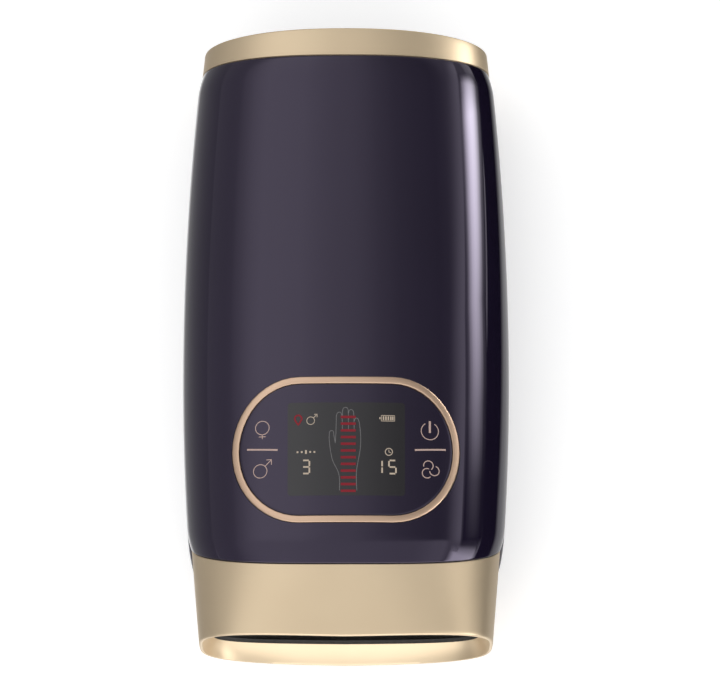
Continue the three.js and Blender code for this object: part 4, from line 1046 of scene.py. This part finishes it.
def channel_lines(piece, middle_y, lines, level, sink, width=1.2):
    def change(x, y, z):
        pull = max(groove(y - middle_y - line, width) for line in lines)
        edge = min(max((PAD_HALF_WIDTH - 3 - abs(x)) / 3, 0), 1)
        return x, y, z + (level - z) * sink * pull * edge
    reshape(piece, change)


def tube(path, radius, sides=8):
    """A round cord along a closed path of plan points with a height."""
    loops, count = [], len(path)
    for n, (x, y, z) in enumerate(path):
        before, after = path[(n - 1) % count], path[(n + 1) % count]
        dx, dy = after[0] - before[0], after[1] - before[1]
        length = math.hypot(dx, dy)
        sx, sy = -dy / length, dx / length
        loops.append([(x + sx * radius * math.cos(a), y + sy * radius * math.cos(a), z + radius * math.sin(a))
                      for a in turn(sides)])
    return loft(loops, ring=True)


def piping(name, half_width, span, corner, level, radius):
    middle, half_length = sum(span) / 2, (span[1] - span[0]) / 2
    outline = resample(rounded_rectangle(half_width - radius, half_length - radius, corner), 2, closed=True)
    return solid(name, [tube([(x, middle + y, level) for x, y in outline], radius)], edge=60)


def stitch(x, y, z, length, along_x=True, thick=0.22):
    """One thread loop: a spindle lying on the cloth."""
    loops = []
    for share in (-1, -0.8, -0.4, 0, 0.4, 0.8, 1):
        radius = thick * (0.35 + 0.65 * math.sqrt(1 - share * share))
        offset, lift = share * length / 2, z + 0.12 * (1 - share * share)
        loops.append([(x + offset, y + radius * math.cos(a), lift + radius * math.sin(a)) if along_x else
                      (x + radius * math.cos(a), y + offset, lift + radius * math.sin(a)) for a in turn(6)])
    return loft(loops)


def stitch_row(x0, x1, y, z, step=3.2, length=2.3):
    count = round((x1 - x0) / step)
    return [stitch(x0 + (x1 - x0) * (n + 0.5) / count, y, z, length) for n in range(count)]


pad_level = (PAD_LOW + PAD_TOP) / 2
pad_start = pillow(lambda x: PAD_LOW + PAD_REACH, lambda x: PAD_TOP - PAD_REACH, 1.4, 0, 3)
first_span = [PAD_SPANS["wrist"][0] + PAD_REACH, PAD_SPANS["wrist"][1] - PAD_REACH]
pads = {"wrist": slab("wrist_pad_cover", PAD_HALF_WIDTH - PAD_REACH, first_span, PAD_CORNER, pad_start)}
moved = inflate(pads["wrist"], PAD_REACH)
channel_lines(pads["wrist"], sum(first_span) / 2, CHANNELS, pad_level, CHANNEL_SINK)
refine(pads["wrist"])
pad_rows, pad_piping = {}, {}
for part, span in PAD_SPANS.items():
    shift = span[0] - PAD_SPANS["wrist"][0]
    if part != "wrist":
        pads[part] = copy_piece(pads["wrist"], f"{part}_pad_cover", shift)
    pad_piping[part] = piping(f"{part}_pad_piping", PAD_HALF_WIDTH, span, PAD_CORNER, pad_level, PAD_CORD)
    stitches = [one for line in CHANNELS
                for one in stitch_row(-38, 38, sum(span) / 2 + line, pad_level - STITCH_SINK)]
    pad_rows[part] = solid(f"{part}_pad_stitches", stitches, edge=60)
print("pads:", len(pads), "largest free swelling:", round(moved * 1000, 1), "mm")

# %% [markdown]
# ### The palm rest
# The rest is made like the pads, only longer. Fifteen firm nodules lift its cover: smooth hills, added
# after the swelling so that they stay round. A groove with stitches frames it a little inside the edge.

# %% Palm rest with nodules
REST_REACH, REST_CORNER, REST_CORD, SIDE_STITCHES = 0.8, 8, 0.9, 61
REST_FRAME, THREAD_LEVEL = 6, REST_TOP - 1.25
NODULES = [(x, y) for x in (-24, 0, 24) for y in (-52, -26, 0, 26, 52)]


def nodule(x, y, radius=6.6, height=1.95):
    hills = 0.0
    for middle_x, middle_y in NODULES:
        share = 1 - ((x - middle_x) ** 2 + (y - middle_y) ** 2) / radius ** 2
        hills = max(hills, height * max(share, 0) ** 1.5)
    return hills


def rest_shape(x, y, z):
    level = (REST_LOW + REST_TOP) / 2
    middle, half_length = sum(REST_SPAN) / 2, (REST_SPAN[1] - REST_SPAN[0]) / 2
    depth = min(PAD_HALF_WIDTH - abs(x), half_length - abs(y - middle))
    z += (level - z) * 0.45 * groove(depth - REST_FRAME, 1.1)
    return x, y, z + (nodule(x, y) if z > level else 0)


rest_start = pillow(lambda x: REST_LOW + REST_REACH, lambda x: REST_TOP - REST_REACH, 1.6, 0, 3.2)
rest_span = [REST_SPAN[0] + REST_REACH, REST_SPAN[1] - REST_REACH]
palm_rest = slab("palm_rest_cover", PAD_HALF_WIDTH - REST_REACH, rest_span, REST_CORNER, rest_start, 1.8)
moved = inflate(palm_rest, REST_REACH)
refine(palm_rest)
reshape(palm_rest, rest_shape)
rest_level = (REST_LOW + REST_TOP) / 2
rest_piping = piping("palm_rest_piping", PAD_HALF_WIDTH, REST_SPAN, REST_CORNER, rest_level, REST_CORD)
rest_seams = [one for y in (REST_SPAN[0] + REST_FRAME, REST_SPAN[1] - REST_FRAME)
              for one in stitch_row(-33, 33, y, THREAD_LEVEL)]
rest_seams += [stitch(side * 36, REST_SPAN[0] + 12 + 3.2 * n, THREAD_LEVEL, 2.3, along_x=False)
               for side in (-1, 1) for n in range(SIDE_STITCHES)]
rest_stitches = solid("palm_rest_stitches", rest_seams, edge=60)
print("nodules:", len(NODULES), "largest free swelling:", round(moved * 1000, 1), "mm")

# %% [markdown]
# ### The air cells
# A cell is two films welded together at the rim, and at two short lines inside that keep it flat. Filled
# with air it swells between the welds. Each upper cell hangs between the tunnel and its pad.

# %% Air cells
CELL_REACH, CELL_CORNER, WELD_X, WELD_HALF_LENGTH = 0.5, 9, 13, 14


def cell(name, half_width, span, low, high):
    heights = pillow(lambda x: low(x) + CELL_REACH, lambda x: high(x) - CELL_REACH, 0.5, 2.2, 7)
    inner = [span[0] + CELL_REACH, span[1] - CELL_REACH]
    bag = slab(name, half_width - CELL_REACH, inner, CELL_CORNER, heights)
    inflate(bag, CELL_REACH)
    middle = sum(span) / 2

    def weld(x, y, z):
        along = max(0, abs(y - middle) - WELD_HALF_LENGTH)
        pull = groove(math.hypot(abs(x) - WELD_X, along), 2.2)
        level = (low(x) + high(x)) / 2
        return x, y, z + (level - z) * 0.82 * pull
    reshape(bag, weld)
    refine(bag)
    return bag


first = PAD_SPANS["wrist"]
cells = {"wrist": cell("wrist_cell_film", PAD_HALF_WIDTH, [first[0] + 2, first[1] - 2], lambda x: 30.4,
                       lambda x: tunnel(x, 2) - GAP)}
for part in ("palm", "finger"):
    cells[part] = copy_piece(cells["wrist"], f"{part}_cell_film", PAD_SPANS[part][0] - first[0])
lower_cell = cell("lower_cell_film", 38, [-122.3, 87], lambda x: GAP - tunnel(x, 2, top=False),
                  lambda x: -29.4)
print("cells:", len(cells) + 1)

# %% [markdown]
# ### Cloth on the walls
# The side liners are strips of spaced knit, stretched between the upper and the lower frame. Their ends
# are folded over into a hem, and the pull draws fine tucks behind it. The end liner closes the back.

# %% Side liners and end liner
LINER_ANGLE = math.radians(51.1)
LINER_SPAN = (-125.8, 91.0)


def wall_point(angle, inset):
    across, up = section(angle, FRAME_POWER)
    return (60.7 - inset) * across, ((36.7 if up > 0 else 34.2) - inset) * up


def hem(y):
    """0 on the hem at either end, 1 on the plain cloth between."""
    return min(max(min(y - LINER_SPAN[0], LINER_SPAN[1] - y), 0) / 5, 1) ** 0.5


def liner_loop(side, y):
    steps = angles(-LINER_ANGLE, LINER_ANGLE, 48)
    plain = hem(y)
    outer = [wall_point(a, 0.1) for a in steps]
    tuck = 0.07 * plain * math.exp(-abs(y + 118) / 9)
    inner = [wall_point(a, 1.35 - 0.35 * plain + tuck * math.sin(26 * a)) for a in reversed(steps)]
    return [(side * x, y, z) for x, z in outer + inner]


liner_rows = [LINER_SPAN[0] + (LINER_SPAN[1] - LINER_SPAN[0]) * step / 124 for step in range(125)]
side_liners = {}
for side, word in ((-1, "left"), (1, "right")):
    liner_loops = [liner_loop(side, y) for y in liner_rows]
    side_liners[side] = solid(f"side_liner_{word}_knit", [loft(liner_loops)], edge=50)


def end_loop(share, y, tuck):
    rows = []
    for a in turn(144):
        x, z = wall_point(a, 0.15)
        rows.append((x * share, y + tuck * 0.12 * math.sin(36 * a) * share ** 3, z * share))
    return rows


end_shares = [0.02, 0.15, 0.3, 0.45, 0.6, 0.72, 0.82, 0.9, 0.95, 0.985, 1]
end_liner = solid("end_liner_knit", [loft([end_loop(s, 92.7, 1) for s in end_shares] +
                                          [end_loop(s, 93.7, 0) for s in reversed(end_shares)])], edge=50)

# %% [markdown]
# ## Finishes of the inside
# The knit of the pads and liners is a grey brown with a fine grid of loops. The cells are a coated film
# with a soft crinkle. The parts that stay in their own solids get a finish each too: solder mask with a
# pattern of tracks, foil, brass, moulded plastic, and hose.

# %% Inside finishes
def knit(name, dark, light, scale):
    cloth = finish(name, light, roughness=0.95, Sheen_Weight=0.25, Sheen_Roughness=0.5)
    tint(cloth, noise(cloth, 1200, 4), dark, light)
    relief(cloth, wave(cloth, scale, "X"), 0.00012, 0.7)
    relief(cloth, wave(cloth, scale * 0.8, "Y"), 0.00012, 0.7)
    relief(cloth, noise(cloth, 60, 2), 0.0003, 0.25)
    return cloth


pad_knit = knit("pad_knit", (0.085, 0.078, 0.072), (0.125, 0.116, 0.107), 420)
liner_knit = knit("liner_knit", (0.080, 0.074, 0.068), (0.115, 0.107, 0.098), 520)
piping_cloth = knit("piping_cloth", (0.060, 0.050, 0.058), (0.085, 0.072, 0.082), 700)
thread = finish("thread", (0.22, 0.19, 0.16), roughness=0.8)
relief(thread, wave(thread, 1500, "DIAGONAL"), 0.00005, 0.8)
cell_film = finish("cell_film", (0.050, 0.050, 0.056), roughness=0.5, Sheen_Weight=0.1)
tint(cell_film, noise(cell_film, 300, 4), (0.042, 0.042, 0.048), (0.060, 0.060, 0.066))
relief(cell_film, noise(cell_film, 90, 5), 0.0004, 0.5)
white_plastic = finish("white_plastic", (0.72, 0.71, 0.68), roughness=0.45)
relief(white_plastic, noise(white_plastic, 1800, 3), 0.00002, 0.5)
mask = finish("solder_mask", (0.010, 0.070, 0.028), roughness=0.35, Coat_Weight=0.4)
tint(mask, wave(mask, 160, "X", 6), (0.008, 0.055, 0.022), (0.016, 0.105, 0.042), 0.45, 0.55)
relief(mask, wave(mask, 160, "X", 6), 0.00003, 0.6)
film_finish = finish("heater_film", (0.42, 0.17, 0.05), roughness=0.3, Coat_Weight=0.6)
tint(film_finish, wave(film_finish, 60, "Y"), (0.30, 0.11, 0.03), (0.62, 0.36, 0.22), 0.44, 0.52)
foil = finish("battery_foil", (0.46, 0.48, 0.52), metallic=0.6, roughness=0.38)
wear(foil, noise(foil, 700, 4), 0.28, 0.48)
relief(foil, noise(foil, 130, 3), 0.00015, 0.4)
brass = finish("brass", (0.72, 0.50, 0.20), metallic=1.0, roughness=0.3)
wear(brass, noise(brass, 1500, 3, (1, 1, 0.2)), 0.22, 0.4)
hose_rubber = finish("hose", (0.62, 0.62, 0.60), roughness=0.35, Transmission_Weight=0.35)
relief(hose_rubber, noise(hose_rubber, 500, 2), 0.00004, 0.5)
print("inside finishes ready")

# %% [markdown]
# ### Joining the soft pieces
# Covers, piping and stitches ride with their pad or with the palm rest. A cell lies between the housing and
# one of them; it gets its film, and its points stay where they are. The liners ride with the housing.

# %% Soft pieces join their bodies
def join_cell(piece, name):
    """A cell stays on the housing at one height and goes with the body at the other."""
    dress(piece, cell_film)
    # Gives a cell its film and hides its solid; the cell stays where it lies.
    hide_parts(name)
    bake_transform(piece)


for part in PAD_SPANS:
    join(pads[part], f"{part}_cushion", "pad_cloth", pad_knit, f"{part}_pad")
    join(pad_piping[part], f"{part}_cushion", "pad_cloth", piping_cloth)
    join(pad_rows[part], f"{part}_cushion", "pad_cloth", thread)
    join_cell(cells[part], f"{part}_cell")
join(palm_rest, "hand_rest", "pad_cloth", pad_knit, "palm_rest")
join(rest_piping, "hand_rest", "pad_cloth", piping_cloth)
join(rest_stitches, "hand_rest", "pad_cloth", thread)
join_cell(lower_cell, "lower_cell")
for side, word in ((-1, "left"), (1, "right")):
    join(side_liners[side], "housing", "pad_cloth", liner_knit, f"side_liner_{word}")
join(end_liner, "housing", "pad_cloth", liner_knit, "end_liner")
print("soft pieces joined")

# %% [markdown]
# ### Valve springs
# Each spring is one wire wound in three turns. It stands on the floor of its valve and carries the
# plunger.

# %% Three coil springs
SPRING_LOW, SPRING_HIGH, VALVE_Y, VALVE_PITCH = 15.65, 23.8, 102.8, 30


def coil(x, y, low, high, radius=2.3, wire=0.35, turns=3, steps=24):
    loops = []
    for n in range(turns * steps + 1):
        a = 2 * math.pi * n / steps
        z = low + wire + (high - low - 2 * wire) * n / (turns * steps)
        ring_points = [(radius + wire * math.cos(b), z + wire * math.sin(b)) for b in turn(8)]
        loops.append([(x + out * math.cos(a), y + out * math.sin(a), up) for out, up in ring_points])
    return solid(f"spring_{x}", [loft(loops)], edge=60)


for number, x in enumerate((-VALVE_PITCH, 0, VALVE_PITCH), 1):
    spring = coil(x, VALVE_Y, SPRING_LOW, SPRING_HIGH)
    dress(spring, steel)
    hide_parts(f"valve_spring_{number}")
    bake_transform(spring)
print("springs joined")

# %% [markdown]
# ### The works behind the lining
# Frames, boards, battery, pump and valves keep their own solids. They are small, rigid and out of view,
# and their solids are exact. Each gets a finish by the first words of its name.

# %% Finishes of the works
works = {"upper_frame": black_plastic, "lower_frame": black_plastic, "rear_bulkhead": black_plastic,
         "display_module": screen, "display_board": mask, "main_board": mask, "ribbon_cable": film_finish,
         "touch_contact": brass, "heating_film": film_finish, "battery": foil, "pump_motor": steel,
         "pump_head": black_plastic, "pump_rotor": brass, "pump_saddle": rubber, "air_rail": white_plastic,
         "valve_body": white_plastic, "valve_plunger": steel, "base_screw": steel}
undressed = []
for name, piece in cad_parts.items():
    kind = next((material for start, material in works.items() if name.startswith(start)), None)
    kind = hose_rubber if name.endswith("_hose") else kind
    if kind:
        dress(piece, kind)
    elif not piece.hide_render:
        undressed.append(name)
print("solids without a finish:", undressed)

# %% [markdown]
# ## Light
# The lacquer is a dark mirror, so each light is drawn for what it looks like in it. A light is a mesh whose
# points carry two numbers: how bright it glows there, and how much it covers what lies behind. So one
# sheet can fade from bright to dim and end without an edge.

# %% Glowing sheets
def glow_finish(name):
    material = bpy.data.materials.new(name)
    material.use_nodes = True
    material.node_tree.nodes.clear()
    numbers = node(material, "ShaderNodeAttribute", attribute_name="glow")
    split = node(material, "ShaderNodeSeparateColor")
    lamp = node(material, "ShaderNodeEmission")
    clear = node(material, "ShaderNodeBsdfTransparent")
    blend = node(material, "ShaderNodeMixShader")
    output = node(material, "ShaderNodeOutputMaterial")
    link(material, numbers, "Color", split, "Color")
    link(material, split, "Red", lamp, "Strength")
    link(material, split, "Green", blend, "Fac")
    link(material, clear, "BSDF", blend, 1)
    link(material, lamp, "Emission", blend, 2)
    link(material, blend, "Shader", output, "Surface")
    return material


def glow_sheet(name, rows, lights=True):
    """Rows of (x, y, z, level, cover) in metres. A sheet that doesn't light is only seen in reflections."""
    count = len(rows[0])
    points = [point for row in rows for point in row]
    faces = [(r * count + c, r * count + c + 1, (r + 1) * count + c + 1, (r + 1) * count + c)
             for r in range(len(rows) - 1) for c in range(count - 1)]
    mesh = bpy.data.meshes.new(name)
    mesh.from_pydata([point[:3] for point in points], [], faces)
    numbers = mesh.color_attributes.new("glow", "FLOAT_COLOR", "POINT")
    for value, point in zip(numbers.data, points):
        value.color = (point[3], point[4], 0, 1)
    sheet = add_object(name, mesh)
    dress(sheet, glow_finish(name))
    sheet.visible_camera = sheet.visible_shadow = False
    sheet.visible_diffuse = lights
    return sheet


print("glow sheets ready")

# %% [markdown]
# The large overhead sheet is brightest left of the middle and fades toward the right. That is the broad
# sheen on the left half of the top. A second sheet stands in front, low enough to shine into the funnel.

# %% Overhead and front light
# x, glow over the mouth, glow over the lacquer, cover
sky_columns = [(-3.4, 0.5, 0.52, 0), (-2.4, 0.6, 0.56, 1), (-1.72, 0.9, 0.88, 1), (-1.27, 1.1, 1.22, 1),
               (-0.97, 1.15, 1.39, 1), (-0.58, 1.17, 1.37, 1), (-0.32, 1.1, 1.3, 1), (0, 0.96, 0.93, 1),
               (0.2, 0.88, 0.59, 1), (0.41, 0.82, 0.4, 1), (0.71, 0.82, 0.3, 1), (1.2, 1.05, 0.23, 1),
               (1.6, 1.1, 0.3, 1), (2.4, 0.5, 0.5, 0)]
sky_rows = [(-1.6, 0, 0), (-1.1, 0, 1), (-0.2, 0, 1), (-0.05, 0, 1), (0.07, 1, 1), (0.3, 1, 1), (1.2, 1, 1),
            (1.9, 1, 1), (2.8, 1, 0)]
SKY_HEIGHT = 1.5
overhead = glow_sheet("overhead_light", [[(x, y, SKY_HEIGHT, mouth + (top - mouth) * share, cover * edge)
                                          for x, mouth, top, cover in sky_columns]
                                         for y, share, edge in sky_rows])
front_columns = [(-1.9, 0), (-1.3, 1), (1.3, 1), (1.9, 0)]
front_rows = [(-1.75, 0.0, 1.6, 0), (-1.75, 0.12, 2.7, 1), (-1.7, 0.7, 2.5, 1), (-1.5, 1.2, 1.9, 1),
              (-1.25, 1.5, 1.3, 0)]
front_light = glow_sheet("front_light", [[(x, y, z, level, cover * edge) for x, edge in front_columns]
                                         for y, z, level, cover in front_rows])
print("overhead columns:", len(sky_columns))

# %% [markdown]
# The long highlight on the right comes from a narrow strip close to the housing. It is bright at the back
# and dies out toward the mouth. Under it stands a black flag, as a photographer would put one, so that the
# lacquer falls off to its deep colour at the edge. Grey cards do the same more gently on the left, and close
# to the foot of the housing on the right.

# %% Strips, flag and card
STRIP_X, HIGH_STRIP_X = 0.25, 0.6
STRIP_RISE = [(-2.2, 0), (-1.5, 0.1), (-1, 0.5), (-0.5, 0.87), (0, 1), (0.5, 0.87), (1, 0.5), (1.5, 0.12)]


def strip_row(y, middle, reach, level, edge):
    points = [(STRIP_X, y, middle + reach * step, level * share, edge) for step, share in STRIP_RISE]
    return points + [(STRIP_X, y, middle + reach * 2, 0.4, 0)]


strip_stations = [(-0.13, 0.134, 0.03, 0, 0), (-0.085, 0.133, 0.03, 0.1, 1), (-0.044, 0.132, 0.03, 0.8, 1),
                  (0, 0.131, 0.03, 3.4, 1), (0.061, 0.129, 0.029, 7.6, 1), (0.12, 0.114, 0.032, 11.8, 1),
                  (0.173, 0.098, 0.036, 14.5, 1), (0.19, 0.093, 0.036, 9, 1), (0.21, 0.088, 0.036, 5, 1),
                  (0.25, 0.08, 0.036, 0, 0)]
long_strip = glow_sheet("long_strip", [strip_row(*station) for station in strip_stations], lights=False)


def high_strip_row(y, low, edge):
    profile = [(0, 0.9, 0), (0.014, 1.4, 1), (0.06, 1.3, 1), (0.14, 0.85, 1), (0.27, 0.4, 0)]
    return [(HIGH_STRIP_X, y, low + rise, level, cover * edge) for rise, level, cover in profile]


high_strip = glow_sheet("high_strip", [high_strip_row(*station) for station in (
    (-0.22, 0.36, 0), (-0.03, 0.36, 1), (0.15, 0.36, 1), (0.31, 0.28, 1), (0.6, 0.2, 1), (0.8, 0.15, 0))])
fill_columns = [(-0.6, 0), (-0.45, 1), (-0.26, 1), (-0.13, 0)]
fill_rows = [(0.03, 0), (0.1, 1), (0.4, 1), (0.5, 0)]
mouth_fill = glow_sheet("mouth_fill", [[(HIGH_STRIP_X, y, z, 5, cover * edge) for y, cover in fill_columns]
                                       for z, edge in fill_rows], lights=False)


def flag_row(y, start, top, edge):
    path = [(start, 0.002, 0), (start + 0.03, 0.002, 1), (0.2, 0.004, 1), (0.252, 0.01, 1), (0.252, top, 1)]
    return [(x, y, z, 0, cover * edge) for x, z, cover in path]


black_flag = glow_sheet("black_flag", [flag_row(*station) for station in (
    (-0.3, 0.15, 0.068, 0), (-0.2, 0.15, 0.068, 1), (-0.06, 0.14, 0.066, 1), (0.03, 0.122, 0.065, 1),
    (0.13, 0.092, 0.03, 1), (0.3, 0.085, 0.012, 1), (0.45, 0.085, 0.012, 0))], lights=False)


def floor_card(name, height, level, columns, rows):
    return glow_sheet(name, [[(x, y, height, level, cover * edge) for x, cover in columns]
                             for y, edge in rows], lights=False)


grey_card = floor_card("grey_card", 0.003, 0.37, [(-0.08, 0), (-0.1, 1), (-9, 1)],
                       [(-1, 0), (-0.5, 1), (6, 1)])
near_card = floor_card("near_card", 0.0012, 0.5, [(0.076, 0), (0.084, 1), (0.17, 1), (0.2, 0)],
                       [(-0.2, 0), (-0.13, 1), (0.2, 1), (0.3, 0)])
world = bpy.data.worlds.new("room")
scene.world = world
world.use_nodes = True
world.node_tree.nodes["Background"].inputs["Color"].default_value = (1, 1, 1, 1)
world.node_tree.nodes["Background"].inputs["Strength"].default_value = 0.5
print("lights:", [sheet.name for sheet in (overhead, front_light, long_strip, high_strip, mouth_fill)])
print("flag and cards:", [sheet.name for sheet in (black_flag, grey_card, near_card)])

# %% [markdown]
# ## Floor and camera
# The floor is a plain pale disc, matt, and wide enough for every view. It takes the shadow of the housing,
# and a little glow lifts it to white where the camera, metal or glass looks at it. The camera stands where
# the photographer's did: high over the mouth, twelve degrees in front of straight down, with a long lens.

# %% Floor and camera
FLOOR_GLOW, FLOOR_Z, FLOOR_RADII, FLOOR_STEPS = 0.38, -PARTING - 0.02, (10, 9000), 96
floor_points = [(0, 0, FLOOR_Z)]
for radius in FLOOR_RADII:
    floor_points += [(x, y, FLOOR_Z) for x, y in around(0, 0, radius, turn(FLOOR_STEPS))]
floor_steps = [(here, here % FLOOR_STEPS + 1) for here in range(1, FLOOR_STEPS + 1)]
floor_faces = [(0, here, after) for here, after in floor_steps]
floor_faces += [(here, FLOOR_STEPS + here, FLOOR_STEPS + after, after) for here, after in floor_steps]
studio_floor = solid("studio_floor", [(floor_points, floor_faces)])
floor_finish = finish("floor_paper", (0.9, 0.9, 0.9), roughness=0.9, Specular_IOR_Level=0.1)
floor_shader = floor_finish.node_tree.nodes["Principled BSDF"]
floor_shader.inputs["Emission Color"].default_value = (1, 1, 1, 1)
rays = node(floor_finish, "ShaderNodeLightPath")
seen = None
for ray in ("Is Camera Ray", "Is Glossy Ray", "Is Transmission Ray"):
    step = node(floor_finish, "ShaderNodeMath", operation="MULTIPLY_ADD")
    step.inputs[1].default_value, step.inputs[2].default_value = FLOOR_GLOW, 0
    link(floor_finish, rays, ray, step, 0)
    if seen:
        link(floor_finish, seen, "Value", step, 2)
    seen = step
link(floor_finish, seen, "Value", floor_shader, "Emission Strength")
dress(studio_floor, floor_finish)

TILT, DISTANCE, SENSOR, LENS, SHIFT = math.radians(12.13), 2.6, 36, 282.2, (0.0195, -0.0028)
camera_data = bpy.data.cameras.new("photographer")
camera = bpy.data.objects.new("photographer", camera_data)
scene.collection.objects.link(camera)
target = Vector((0, 0, PARTING * MM))
camera.location = target + DISTANCE * Vector((0, -math.sin(TILT), math.cos(TILT)))
camera.rotation_euler = (target - camera.location).to_track_quat("-Z", "Y").to_euler()
camera_data.sensor_width, camera_data.lens = SENSOR, LENS
camera_data.shift_x, camera_data.shift_y = SHIFT
camera_data.clip_end = 50
scene.camera = camera
scene.view_settings.view_transform = "Standard"
print("camera at", [round(c, 3) for c in camera.location])
